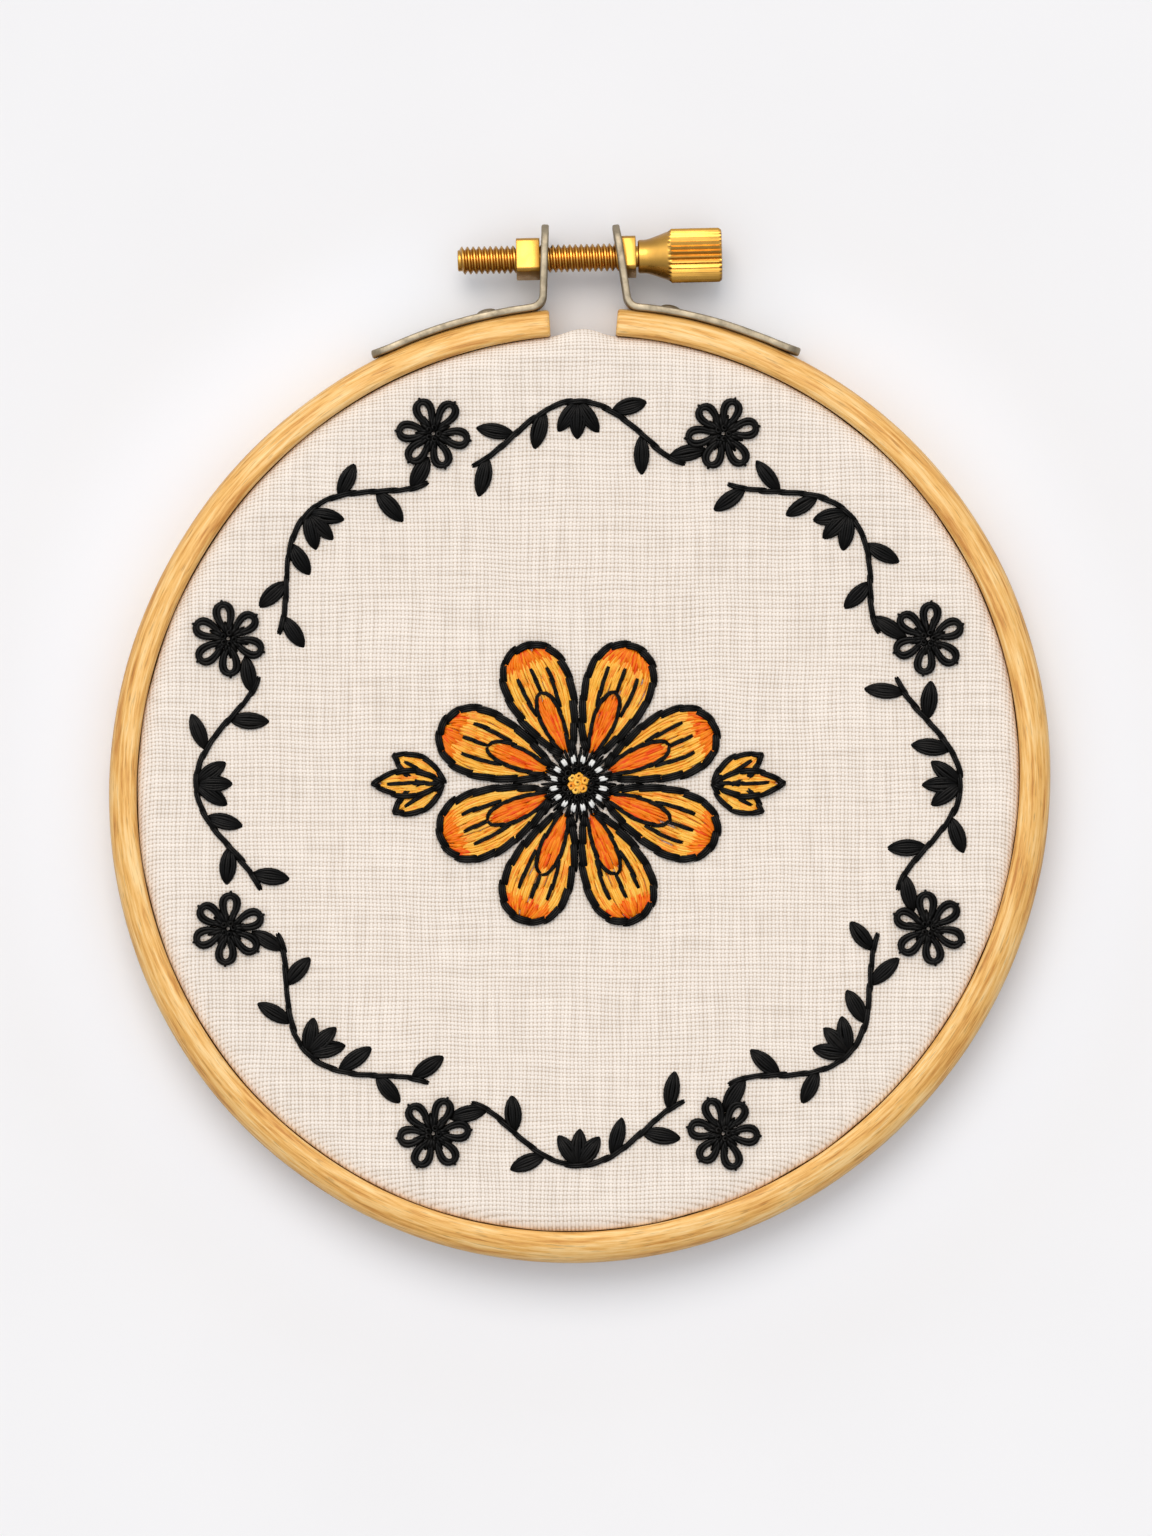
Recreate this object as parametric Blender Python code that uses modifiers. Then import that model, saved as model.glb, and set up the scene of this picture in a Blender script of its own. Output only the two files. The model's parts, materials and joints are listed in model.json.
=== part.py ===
"""Embroidered cloth stretched in a wooden screw hoop.

The hoop lies on its back with the cloth facing up (+Z) and its screw towards +Y. The origin is at
the middle of the footprint, on the surface that the hoop rests on.
"""

import math

import bmesh
import bpy
from mathutils import Matrix, Vector

MM = 0.001

# Driving dimensions. Radii are measured from the hoop's middle.
RING_INNER_RADIUS = 51.3 * MM
RING_WALL = 3.7 * MM
WALL_SWELL = 0.3 * MM
THICK_SIDE_ANGLE = math.radians(305)
RING_DEPTH = 9.0 * MM
RING_TOP_ROUND = 0.9 * MM
RING_FOOT_ROUND = 0.4 * MM
OUT_OF_ROUND = 0.68 * MM
LONG_AXIS_ANGLE = math.radians(63)
SPLIT_LEFT_X = -3.4 * MM
SPLIT_RIGHT_X = 4.6 * MM
GAP = 0.3 * MM

# Cloth: one sheet over the inner ring, with its rim pressed between the two rings.
CLOTH_THICKNESS = 1.0 * MM
CLOTH_DROP = 0.4 * MM
CLOTH_ROLL = 1.5 * MM
CLOTH_HEM_Z = 0.6 * MM
CLOTH_SAG = 0.12 * MM
CLOTH_PUCKER = 0.05 * MM
CLOTH_PUCKERS = 19
SPLIT_BULGE = 1.2 * MM
BULGE_LINES = (-0.75, -0.4, 0.0, 0.4, 0.75)

# Screw, nut, collar and the bent strips that carry them.
SCREW_HEIGHT = 61.05 * MM
SCREW_TILT = math.radians(1.3)
SCREW_Z = 4.5 * MM
THREAD_RADIUS = 1.65 * MM
THREAD_END_X = -14.0 * MM
HEAD_START_X = 7.0 * MM
FLARE_END_X = 10.6 * MM
HEAD_END_X = 16.7 * MM
NECK_RADIUS = 2.0 * MM
HEAD_RADIUS = 3.15 * MM
KNURLS = 31
KNURL_DEPTH = 0.18 * MM
EAR_TOP = 64.9 * MM
LEFT_EAR_BASE_X = -4.1 * MM
LEFT_EAR_TOP_X = -3.82 * MM
RIGHT_EAR_BASE_X = 5.85 * MM
RIGHT_EAR_TOP_X = 4.35 * MM
STRIP_THICKNESS = 0.85 * MM
STRIP_WIDTH = 7.0 * MM
STRIP_BEND = 1.3 * MM
EAR_CORNER = 2.4 * MM
LEFT_LEG_END = math.radians(115.7)
RIGHT_LEG_END = math.radians(62.8)
BLOCK_SIDE = 5.2 * MM
BLOCK_CHAMFER = 0.75 * MM
BLOCK_TURN = math.radians(6)
NUT_WIDTH = 2.6 * MM
COLLAR_WIDTH = 1.1 * MM
COLLAR_START_X = 5.6 * MM
COLLAR_SLANT = 0.16
RIVET_TURN = math.radians(11)
RIVET_HEAD_RADIUS = 1.2 * MM
RIVET_HEAD_RISE = 0.5 * MM
RIVET_SHANK_RADIUS = 0.55 * MM
RIVET_DEPTH = 3.0 * MM

# Stitched motifs, as low pads a little above the cloth.
STITCH_RISE = 0.4 * MM
STITCH_STEP = 0.03 * MM
PAD_TOP_SHARE = 0.65
PETALS = 8
PETAL_LENGTH = 13.6 * MM
PETAL_WIDTH = 10.4 * MM
PETAL_START = 3.9 * MM
PETAL_RING_RADIUS = 8.0 * MM
FLOWER_CENTRE_RADIUS = 4.0 * MM
SIDE_LEAF_START = 15.6 * MM
SIDE_LEAF_LENGTH = 8.2 * MM
SIDE_LEAF_WIDTH = 3.4 * MM
SIDE_LEAF_SPREAD = math.radians(30)
SIDE_LEAF_ROOT = 1.1 * MM
REPEATS = 8
BLOSSOM_RADIUS = 4.4 * MM
BLOSSOM_PETALS = 6
BLOSSOM_PLACE = 43.9 * MM
VINE_PLACE = 41.6 * MM
VINE_SWING = 2.7 * MM
VINE_HALF_SPAN = math.radians(18.5)
VINE_RADIUS = 0.35 * MM
VINE_LEAF_LENGTH = 4.3 * MM
VINE_LEAF_WIDTH = 1.6 * MM
VINE_LEAF_LEAN = math.radians(48)
LEAF_ROOT = 0.6 * MM
VINE_LEAF_PLACES = (-0.84, -0.56, -0.28, 0.28, 0.56, 0.84)

# How finely the round shapes are cut into flats.
RING_STEPS = 72
SHORT_ROUND = 3
HOLE_STEPS = 20
PAD_STEPS = 12
LEAF_STEPS = 6
BLOSSOM_STEPS = 6

CLOTH_TOP = RING_DEPTH - CLOTH_DROP
CLOTH_OUTER_RADIUS = RING_INNER_RADIUS - GAP
INNER_RING_TOP = CLOTH_TOP - CLOTH_THICKNESS - GAP
INNER_RING_OUTER_RADIUS = CLOTH_OUTER_RADIUS - CLOTH_THICKNESS - GAP
INNER_RING_INNER_RADIUS = INNER_RING_OUTER_RADIUS - RING_WALL
STITCH_BASE = CLOTH_TOP + GAP
HOLE_RADIUS = THREAD_RADIUS + GAP + 0.05 * MM
LEG_SEAT = GAP + STRIP_THICKNESS / 2


def out_of_round(angle):
    """How far every round outline stands out from a true circle at this angle."""
    return OUT_OF_ROUND * math.cos(2 * (angle - LONG_AXIS_ANGLE))


def swell(angle):
    """How much thicker than its mean the outer ring's wall is at this angle."""
    return WALL_SWELL * math.cos(angle - THICK_SIDE_ANGLE)


def outer_radius(angle):
    """The outer ring's outer radius at this angle."""
    return RING_INNER_RADIUS + RING_WALL + swell(angle) + out_of_round(angle)


def hoop_middle(steps=720):
    """Where the hoop's middle lies when the footprint's middle, with the ears, is the origin."""
    angles = [2 * math.pi * step / steps for step in range(steps)]
    across = [outer_radius(angle) * math.cos(angle) for angle in angles]
    low = min(outer_radius(angle) * math.sin(angle) for angle in angles)
    return -(max(across) + min(across)) / 2, -(low + EAR_TOP) / 2


HOOP_X, HOOP_Y = hoop_middle()


def clear_scene():
    for obj in list(bpy.data.objects):
        bpy.data.objects.remove(obj, do_unlink=True)


def new_collection(name):
    collection = bpy.data.collections.new(name)
    bpy.context.scene.collection.children.link(collection)
    return collection


def new_material(name, colour, roughness, metallic=0.0):
    material = bpy.data.materials.new(name)
    material.use_nodes = True
    shader = material.node_tree.nodes["Principled BSDF"]
    shader.inputs["Base Color"].default_value = (*colour, 1.0)
    shader.inputs["Roughness"].default_value = roughness
    shader.inputs["Metallic"].default_value = metallic
    material.diffuse_color = (*colour, 1.0)
    return material


def object_from(bm, name, collection, material=None, smooth=True):
    """Closes a bmesh into an object whose faces point outwards."""
    bmesh.ops.recalc_face_normals(bm, faces=bm.faces)
    mesh = bpy.data.meshes.new(name)
    bm.to_mesh(mesh)
    bm.free()
    if smooth:
        mesh.shade_smooth()
        mesh.set_sharp_from_angle(angle=math.radians(35))
    if material is not None:
        mesh.materials.append(material)
    obj = bpy.data.objects.new(name, mesh)
    collection.objects.link(obj)
    return obj


def cutter_from(bm, name, cutters):
    cutter = object_from(bm, name, cutters, smooth=False)
    cutter.hide_render = True
    cutter.display_type = "WIRE"
    return cutter


def combine(obj, others, operation):
    for other in others:
        modifier = obj.modifiers.new(other.name, "BOOLEAN")
        modifier.operation = operation
        modifier.object = other


def finished_mesh(obj, name):
    """The object's mesh with its modifiers worked in."""
    graph = bpy.context.evaluated_depsgraph_get()
    mesh = bpy.data.meshes.new_from_object(obj.evaluated_get(graph))
    mesh.name = name
    return mesh


def at_hoop_middle(bm):
    bmesh.ops.translate(bm, verts=bm.verts, vec=(HOOP_X, HOOP_Y, 0))


def make_oval(bm):
    """Pushes each point out or in, so that a round shape gets the hoop's slightly oval outline."""
    for vert in bm.verts:
        radius = math.hypot(vert.co.x, vert.co.y)
        if radius < MM:
            continue
        angle = math.atan2(vert.co.y, vert.co.x)
        share = min(1.0, radius / INNER_RING_INNER_RADIUS)
        grown = (radius + out_of_round(angle) * share) / radius
        vert.co.x *= grown
        vert.co.y *= grown


def ring_section(bm, inner, outer, top, start_angle, top_steps):
    """A ring's section as one face, with a round top and slightly eased foot."""
    corners = [(inner, 0), (outer, 0), (outer, top), (inner, top)]
    verts = [bm.verts.new((radius, 0, height)) for radius, height in corners]
    bm.faces.new(verts)
    rounds = ((verts[:2], RING_FOOT_ROUND, 1), (verts[2:], RING_TOP_ROUND, top_steps))
    for chosen, size, segments in rounds:
        bmesh.ops.bevel(
            bm,
            geom=chosen,
            offset=size,
            offset_type="OFFSET",
            segments=segments,
            profile=0.5,
            affect="VERTICES",
            material=-1,
        )
    bmesh.ops.rotate(bm, verts=bm.verts, cent=(0, 0, 0), matrix=Matrix.Rotation(start_angle, 3, "Z"))


def split_angles():
    """The angles of the outer ring's two ends, from the left one round to the right one."""
    radius = outer_radius(math.pi / 2)
    return math.acos(SPLIT_LEFT_X / radius), math.acos(SPLIT_RIGHT_X / radius) + 2 * math.pi


def swell_wall(bm):
    """Thickens the outer ring's wall outwards on its thick side and thins it opposite."""
    for vert in bm.verts:
        radius = math.hypot(vert.co.x, vert.co.y)
        share = (radius - RING_INNER_RADIUS) / RING_WALL
        grown = (radius + share * swell(math.atan2(vert.co.y, vert.co.x))) / radius
        vert.co.x *= grown
        vert.co.y *= grown


def make_outer_ring(parts, cutters, wood):
    start, end = split_angles()
    bm = bmesh.new()
    outer = RING_INNER_RADIUS + RING_WALL
    ring_section(bm, RING_INNER_RADIUS, outer, RING_DEPTH, start, SHORT_ROUND)
    bmesh.ops.spin(
        bm,
        geom=bm.faces[:],
        cent=(0, 0, 0),
        axis=(0, 0, 1),
        dvec=(0, 0, 0),
        angle=end - start,
        steps=RING_STEPS,
        use_merge=False,
        use_duplicate=False,
    )
    swell_wall(bm)
    make_oval(bm)
    at_hoop_middle(bm)
    ring = object_from(bm, "outer_ring", parts, wood)
    holes = [rivet_hole(side, cutters) for side in (-1, 1)]
    combine(ring, holes, "DIFFERENCE")
    return ring


def make_inner_ring(parts, wood):
    bm = bmesh.new()
    ring_section(bm, INNER_RING_INNER_RADIUS, INNER_RING_OUTER_RADIUS, INNER_RING_TOP, 0.0, 1)
    bmesh.ops.delete(bm, geom=bm.faces[:], context="FACES_ONLY")
    bmesh.ops.spin(
        bm,
        geom=bm.edges[:],
        cent=(0, 0, 0),
        axis=(0, 0, 1),
        dvec=(0, 0, 0),
        angle=2 * math.pi,
        steps=RING_STEPS,
        use_merge=True,
        use_duplicate=False,
    )
    make_oval(bm)
    at_hoop_middle(bm)
    return object_from(bm, "inner_ring", parts, wood)


def cloth_profile():
    """The cloth's upper side as (radius, height), from the middle over the roll and down to its hem."""
    flat = [0.0, 0.4, 0.7, 0.93]
    edge = CLOTH_OUTER_RADIUS - CLOTH_ROLL
    points = [(edge * share, CLOTH_TOP - CLOTH_SAG * (1 - share**2)) for share in flat]
    for step in range(SHORT_ROUND + 1):
        turn = math.pi / 2 * step / SHORT_ROUND
        height = CLOTH_TOP - CLOTH_ROLL * (1 - math.cos(turn))
        points.append((edge + CLOTH_ROLL * math.sin(turn), height))
    return points + [(CLOTH_OUTER_RADIUS, CLOTH_HEM_Z)]


def cut_columns_at_split(bm):
    """Adds lines across the rim of the cloth at the split, so that its bulge there has a soft shape."""
    middle = (SPLIT_LEFT_X + SPLIT_RIGHT_X) / 2
    half = (SPLIT_RIGHT_X - SPLIT_LEFT_X) / 2
    for share in BULGE_LINES:
        near = [
            face
            for face in bm.faces
            if face.calc_center_median().y > 0.9 * CLOTH_OUTER_RADIUS - CLOTH_ROLL
            and abs(face.calc_center_median().x - middle) < 2 * half
        ]
        around = {item for face in near for item in (*face.edges, *face.verts)}
        bmesh.ops.bisect_plane(
            bm,
            geom=[*near, *around],
            dist=0.001 * MM,
            plane_co=(middle + share * half, 0, 0),
            plane_no=(1, 0, 0),
        )


def uneven_cloth(bm):
    """Puckers round the rim of the cloth, and its soft bulge into the outer ring's split."""
    middle = (SPLIT_LEFT_X + SPLIT_RIGHT_X) / 2
    half = (SPLIT_RIGHT_X - SPLIT_LEFT_X) / 2
    for vert in bm.verts:
        radius = math.hypot(vert.co.x, vert.co.y)
        angle = math.atan2(vert.co.y, vert.co.x)
        share = radius / CLOTH_OUTER_RADIUS
        if share < 0.95:
            wave = math.sin(CLOTH_PUCKERS * angle) + 0.6 * math.sin(7 * angle + 1.3)
            vert.co.z += CLOTH_PUCKER * share**3 * wave
        across = (vert.co.x - middle) / half
        if share > 0.9 and vert.co.y > 0 and abs(across) < 1:
            push = SPLIT_BULGE * math.cos(across * math.pi / 2) ** 2 * min(1.0, (share - 0.9) / 0.08)
            vert.co.y += push


def make_cloth(parts, linen):
    bm = bmesh.new()
    verts = [bm.verts.new((radius, 0, height)) for radius, height in cloth_profile()]
    for first, second in zip(verts, verts[1:]):
        bm.edges.new((first, second))
    bmesh.ops.spin(
        bm,
        geom=bm.edges[:],
        cent=(0, 0, 0),
        axis=(0, 0, 1),
        dvec=(0, 0, 0),
        angle=2 * math.pi,
        steps=RING_STEPS,
        use_merge=True,
        use_duplicate=False,
    )
    bmesh.ops.remove_doubles(bm, verts=bm.verts, dist=0.001 * MM)
    cut_columns_at_split(bm)
    uneven_cloth(bm)
    make_oval(bm)
    at_hoop_middle(bm)
    cloth = object_from(bm, "cloth", parts, linen)
    if sum(polygon.normal.z for polygon in cloth.data.polygons) < 0:
        cloth.data.flip_normals()
    sheet = cloth.modifiers.new("thickness", "SOLIDIFY")
    sheet.thickness = CLOTH_THICKNESS
    sheet.offset = -1.0
    sheet.use_even_offset = True
    return cloth


def bracket_path(base_x, top_x, leg_end):
    """The strip's middle line in plan, from the leg's end over the bend to the ear's top."""
    base_y = math.sqrt((outer_radius(math.pi / 2) + LEG_SEAT) ** 2 - base_x**2)
    bend_angle = math.atan2(base_y, base_x)
    leg = []
    steps = 9
    for step in range(steps):
        angle = leg_end + (bend_angle - leg_end) * step / steps
        radius = outer_radius(angle) + LEG_SEAT
        leg.append((radius * math.cos(angle), radius * math.sin(angle)))
    return leg + [(base_x, base_y), (top_x, EAR_TOP)]


def make_bracket(name, ear, leg_end, side, parts, cutters, steel):
    base_x, top_x = ear
    low = SCREW_Z - STRIP_WIDTH / 2
    bm = bmesh.new()
    verts = [bm.verts.new((x, y, low)) for x, y in bracket_path(base_x, top_x, leg_end)]
    edges = [bm.edges.new(pair) for pair in zip(verts, verts[1:])]
    extruded = bmesh.ops.extrude_edge_only(bm, edges=edges)["geom"]
    upper = [item for item in extruded if isinstance(item, bmesh.types.BMVert)]
    bmesh.ops.translate(bm, verts=upper, vec=(0, 0, STRIP_WIDTH))
    bm.normal_update()
    corner = Vector(verts[-2].co)
    bend = [
        edge
        for edge in bm.edges
        if all((vert.co.xy - corner.xy).length < 0.01 * MM for vert in edge.verts)
    ]
    bmesh.ops.bevel(
        bm,
        geom=bend,
        offset=STRIP_BEND,
        offset_type="OFFSET",
        segments=SHORT_ROUND,
        profile=0.5,
        affect="EDGES",
        material=-1,
    )
    tips = [vert for vert in bm.verts if vert.co.y > EAR_TOP - 0.01 * MM]
    bmesh.ops.bevel(
        bm,
        geom=tips,
        offset=EAR_CORNER,
        offset_type="OFFSET",
        segments=SHORT_ROUND,
        profile=0.5,
        affect="VERTICES",
        material=-1,
    )
    at_hoop_middle(bm)
    bracket = object_from(bm, name, parts, steel)
    strip = bracket.modifiers.new("thickness", "SOLIDIFY")
    strip.thickness = STRIP_THICKNESS
    strip.offset = 0.0
    strip.use_even_offset = True
    combine(bracket, [screw_hole(name, cutters), rivet_hole(side, cutters)], "DIFFERENCE")
    return bracket


def cylinder(bm, radius, length, matrix, steps=HOLE_STEPS):
    bmesh.ops.create_cone(
        bm,
        cap_ends=True,
        segments=steps,
        radius1=radius,
        radius2=radius,
        depth=length,
        matrix=matrix,
    )


def along_screw(x):
    """A place on the screw's axis, with local Z turned along the screw."""
    middle = Matrix.Translation((HOOP_X, HOOP_Y + SCREW_HEIGHT, SCREW_Z)) @ Matrix.Rotation(SCREW_TILT, 4, "Z")
    return middle @ Matrix.Translation((x, 0, 0)) @ Matrix.Rotation(math.pi / 2, 4, "Y")


def screw_hole(name, cutters):
    bm = bmesh.new()
    cylinder(bm, HOLE_RADIUS, 40 * MM, along_screw(0))
    return cutter_from(bm, name + "_screw_hole", cutters)


def rivet_place(side):
    """The rivet's place on the leg, with local Z pointing out of the hoop."""
    angle = math.pi / 2 - side * RIVET_TURN
    radius = outer_radius(angle)
    x = HOOP_X + radius * math.cos(angle)
    y = HOOP_Y + radius * math.sin(angle)
    turn = Matrix.Rotation(angle, 4, "Z") @ Matrix.Rotation(math.pi / 2, 4, "Y")
    return Matrix.Translation((x, y, SCREW_Z)) @ turn


def rivet_hole(side, cutters):
    bm = bmesh.new()
    depth = RIVET_DEPTH + 2 * GAP
    reach = STRIP_THICKNESS + 3 * GAP
    place = rivet_place(side) @ Matrix.Translation((0, 0, (reach - depth) / 2))
    cylinder(bm, RIVET_SHANK_RADIUS + GAP, depth + reach, place, PAD_STEPS)
    return cutter_from(bm, "rivet_hole", cutters)


def make_rivet(name, side, parts, brass):
    """A pin through the leg into the wood, with a low domed head."""
    seat = 2 * GAP + STRIP_THICKNESS
    profile = [(0, -RIVET_DEPTH), (RIVET_SHANK_RADIUS, -RIVET_DEPTH), (RIVET_SHANK_RADIUS, seat)]
    for step in range(SHORT_ROUND + 1):
        turn = math.pi / 2 * step / SHORT_ROUND
        profile.append((RIVET_HEAD_RADIUS * math.cos(turn), seat + RIVET_HEAD_RISE * math.sin(turn)))
    bm = turned(profile, PAD_STEPS)
    bmesh.ops.transform(bm, matrix=rivet_place(side), verts=bm.verts)
    return object_from(bm, name, parts, brass)


def turned(profile, steps):
    """A profile of (radius, height) spun about Z, with its ends on the axis."""
    bm = bmesh.new()
    verts = [bm.verts.new((radius, 0, height)) for radius, height in profile]
    for first, second in zip(verts, verts[1:]):
        bm.edges.new((first, second))
    bmesh.ops.spin(
        bm,
        geom=bm.edges[:],
        cent=(0, 0, 0),
        axis=(0, 0, 1),
        dvec=(0, 0, 0),
        angle=2 * math.pi,
        steps=steps,
        use_merge=True,
        use_duplicate=False,
    )
    bmesh.ops.remove_doubles(bm, verts=bm.verts, dist=0.001 * MM)
    return bm


def make_thumbscrew(parts, brass):
    """The threaded rod and its flared, knurled head, turned from one bar. Its origin is on its axis."""
    ease = 0.35 * MM
    flare = FLARE_END_X - HEAD_START_X
    profile = [
        (0, THREAD_END_X),
        (THREAD_RADIUS - ease, THREAD_END_X),
        (THREAD_RADIUS, THREAD_END_X + ease),
        (THREAD_RADIUS, HEAD_START_X),
        (NECK_RADIUS, HEAD_START_X),
        (NECK_RADIUS, HEAD_START_X + 0.3 * flare),
        (NECK_RADIUS + 0.25 * (HEAD_RADIUS - NECK_RADIUS), HEAD_START_X + 0.62 * flare),
        (HEAD_RADIUS - ease, FLARE_END_X),
        (HEAD_RADIUS, FLARE_END_X + ease),
        (HEAD_RADIUS, HEAD_END_X - ease),
        (HEAD_RADIUS - ease, HEAD_END_X),
        (0, HEAD_END_X),
    ]
    bm = turned(profile, 2 * KNURLS)
    for vert in bm.verts:
        column = round(math.atan2(vert.co.y, vert.co.x) / (math.pi / KNURLS))
        radius = math.hypot(vert.co.x, vert.co.y)
        if radius > HEAD_RADIUS - 0.01 * MM and column % 2:
            vert.co.x *= (radius - KNURL_DEPTH) / radius
            vert.co.y *= (radius - KNURL_DEPTH) / radius
    screw = object_from(bm, "thumbscrew", parts, brass)
    screw.matrix_world = along_screw(0)
    return screw


def make_block(name, start_x, width, slants, parts, cutters, brass):
    """A square brass block with its corners cut off, bored for the screw. Each face may slant along an ear."""
    bm = bmesh.new()
    bmesh.ops.create_cube(bm, size=1.0)
    bmesh.ops.scale(bm, verts=bm.verts, vec=(BLOCK_SIDE, BLOCK_SIDE, width))
    corners = [edge for edge in bm.edges if abs(edge.verts[0].co.z - edge.verts[1].co.z) > width / 2]
    bmesh.ops.bevel(
        bm,
        geom=corners,
        offset=BLOCK_CHAMFER,
        offset_type="OFFSET",
        segments=1,
        profile=0.5,
        affect="EDGES",
        material=-1,
    )
    bmesh.ops.rotate(bm, verts=bm.verts, cent=(0, 0, 0), matrix=Matrix.Rotation(BLOCK_TURN, 3, "Z"))
    for vert in bm.verts:
        vert.co.z -= vert.co.y * slants[vert.co.z > 0]
    place = along_screw(start_x + width / 2)
    bmesh.ops.transform(bm, matrix=place, verts=bm.verts)
    block = object_from(bm, name, parts, brass, smooth=False)
    combine(block, [screw_hole(name, cutters)], "DIFFERENCE")
    return block


def pad(bm, base, tip, width, step, pointed):
    """A low pad of stitches from base to tip: a pointed leaf, or a petal that widens to a round tip."""
    steps = LEAF_STEPS if pointed else PAD_STEPS
    made = bmesh.ops.create_cone(
        bm, cap_ends=True, segments=steps, radius1=1.0, radius2=PAD_TOP_SHARE, depth=1.0
    )["verts"]
    run = Vector(tip) - Vector(base)
    across = Vector((-run.y, run.x)).normalized() * width / 2
    for vert in made:
        along = (vert.co.x + 1) / 2
        side = vert.co.y * abs(vert.co.y) if pointed else vert.co.y * (0.42 + 0.62 * along)
        flat = Vector(base) + run * along + across * side
        height = STITCH_BASE + STITCH_STEP * step + (vert.co.z + 0.5) * STITCH_RISE
        vert.co = (flat.x, flat.y, height)


def pad_shape(name, cutters, *sizes):
    bm = bmesh.new()
    pad(bm, *sizes)
    return cutter_from(bm, name, cutters)


def polar(radius, angle):
    return Vector((radius * math.cos(angle), radius * math.sin(angle)))


def fused(name, shapes):
    """One closed mesh from overlapping shapes."""
    combine(shapes[0], shapes[1:], "UNION")
    bpy.context.view_layer.update()
    return finished_mesh(shapes[0], name)


def disc_shape(name, cutters, radius, step, middle=(0, 0)):
    bm = bmesh.new()
    base = STITCH_BASE + STITCH_STEP * step
    place = Matrix.Translation((*middle, base + STITCH_RISE / 2))
    cylinder(bm, radius, STITCH_RISE, place, 2 * PAD_STEPS)
    return cutter_from(bm, name, cutters)


def flower_mesh(cutters):
    """The large flower's petals, joined side by side round an open middle."""
    shapes = [disc_shape("petal_ring", cutters, PETAL_RING_RADIUS, 2)]
    for count in range(PETALS):
        angle = 2 * math.pi * (count + 0.5) / PETALS
        base = polar(PETAL_START, angle)
        tip = polar(PETAL_START + PETAL_LENGTH, angle)
        shapes.append(pad_shape("petal", cutters, base, tip, PETAL_WIDTH, count % 2, False))
    bm = bmesh.new()
    cylinder(bm, FLOWER_CENTRE_RADIUS, 4 * MM, Matrix.Translation((0, 0, STITCH_BASE)), 2 * PAD_STEPS)
    middle = cutter_from(bm, "flower_middle", cutters)
    combine(shapes[0], shapes[1:], "UNION")
    combine(shapes[0], [middle], "DIFFERENCE")
    bpy.context.view_layer.update()
    return finished_mesh(shapes[0], "flower_petals")


def flower_centre_mesh():
    bm = bmesh.new()
    radius = FLOWER_CENTRE_RADIUS - GAP
    bmesh.ops.create_cone(
        bm,
        cap_ends=True,
        segments=2 * PAD_STEPS,
        radius1=radius,
        radius2=0.7 * radius,
        depth=STITCH_RISE,
        matrix=Matrix.Translation((0, 0, STITCH_BASE + STITCH_RISE / 2)),
    )
    mesh = bpy.data.meshes.new("flower_centre")
    bm.to_mesh(mesh)
    bm.free()
    return mesh


def side_leaves_mesh(cutters):
    """Three pointed leaves that fan out beside the large flower."""
    base = polar(SIDE_LEAF_START, 0)
    shapes = []
    for count, turn in enumerate((-1, 0, 1)):
        tip = base + polar(SIDE_LEAF_LENGTH * (0.8 if turn else 1.0), turn * SIDE_LEAF_SPREAD)
        shapes.append(pad_shape("leaf", cutters, base, tip, SIDE_LEAF_WIDTH, count % 2, True))
    shapes.append(disc_shape("leaf_root", cutters, SIDE_LEAF_ROOT, 2, base + polar(SIDE_LEAF_ROOT, 0)))
    return fused("side_leaves", shapes)


def blossom_mesh():
    """A small six-petalled blossom about its own middle: one outline, raised with sloping sides."""
    bm = bmesh.new()
    count = BLOSSOM_PETALS * BLOSSOM_STEPS
    verts = []
    for step in range(count):
        angle = 2 * math.pi * step / count
        radius = BLOSSOM_RADIUS * (0.42 + 0.58 * abs(math.cos(BLOSSOM_PETALS / 2 * angle)) ** 0.6)
        verts.append(bm.verts.new((radius * math.cos(angle), radius * math.sin(angle), STITCH_BASE)))
    foot = bm.faces.new(verts)
    raised = bmesh.ops.extrude_face_region(bm, geom=[foot], use_keep_orig=True)["geom"]
    top = [item for item in raised if isinstance(item, bmesh.types.BMVert)]
    bmesh.ops.translate(bm, verts=top, vec=(0, 0, STITCH_RISE))
    bmesh.ops.scale(bm, verts=top, vec=(0.88, 0.88, 1.0))
    bmesh.ops.recalc_face_normals(bm, faces=bm.faces)
    mesh = bpy.data.meshes.new("blossom")
    bm.to_mesh(mesh)
    bm.free()
    return mesh


def vine_point(share):
    """A point of the vine, which swings out and in again: share runs from -1 to 1."""
    radius = VINE_PLACE + VINE_SWING * math.cos(math.pi * share)
    return polar(radius, VINE_HALF_SPAN * share)


def vine_stem(cutters):
    """The vine's stem as a thin tube, made a mesh with its ends closed."""
    steps = 10
    curve = bpy.data.curves.new("stem", "CURVE")
    curve.dimensions = "3D"
    curve.bevel_depth = VINE_RADIUS
    curve.bevel_resolution = 0
    curve.use_fill_caps = True
    spline = curve.splines.new("POLY")
    spline.points.add(steps)
    height = STITCH_BASE + VINE_RADIUS
    for step, point in enumerate(spline.points):
        place = vine_point(2 * step / steps - 1)
        point.co = (place.x, place.y, height, 1)
    line = bpy.data.objects.new("stem_line", curve)
    cutters.objects.link(line)
    bpy.context.view_layer.update()
    bm = bmesh.new()
    bm.from_mesh(finished_mesh(line, "stem"))
    bmesh.ops.remove_doubles(bm, verts=bm.verts, dist=0.001 * MM)
    bpy.data.objects.remove(line, do_unlink=True)
    return cutter_from(bm, "stem", cutters)


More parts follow.
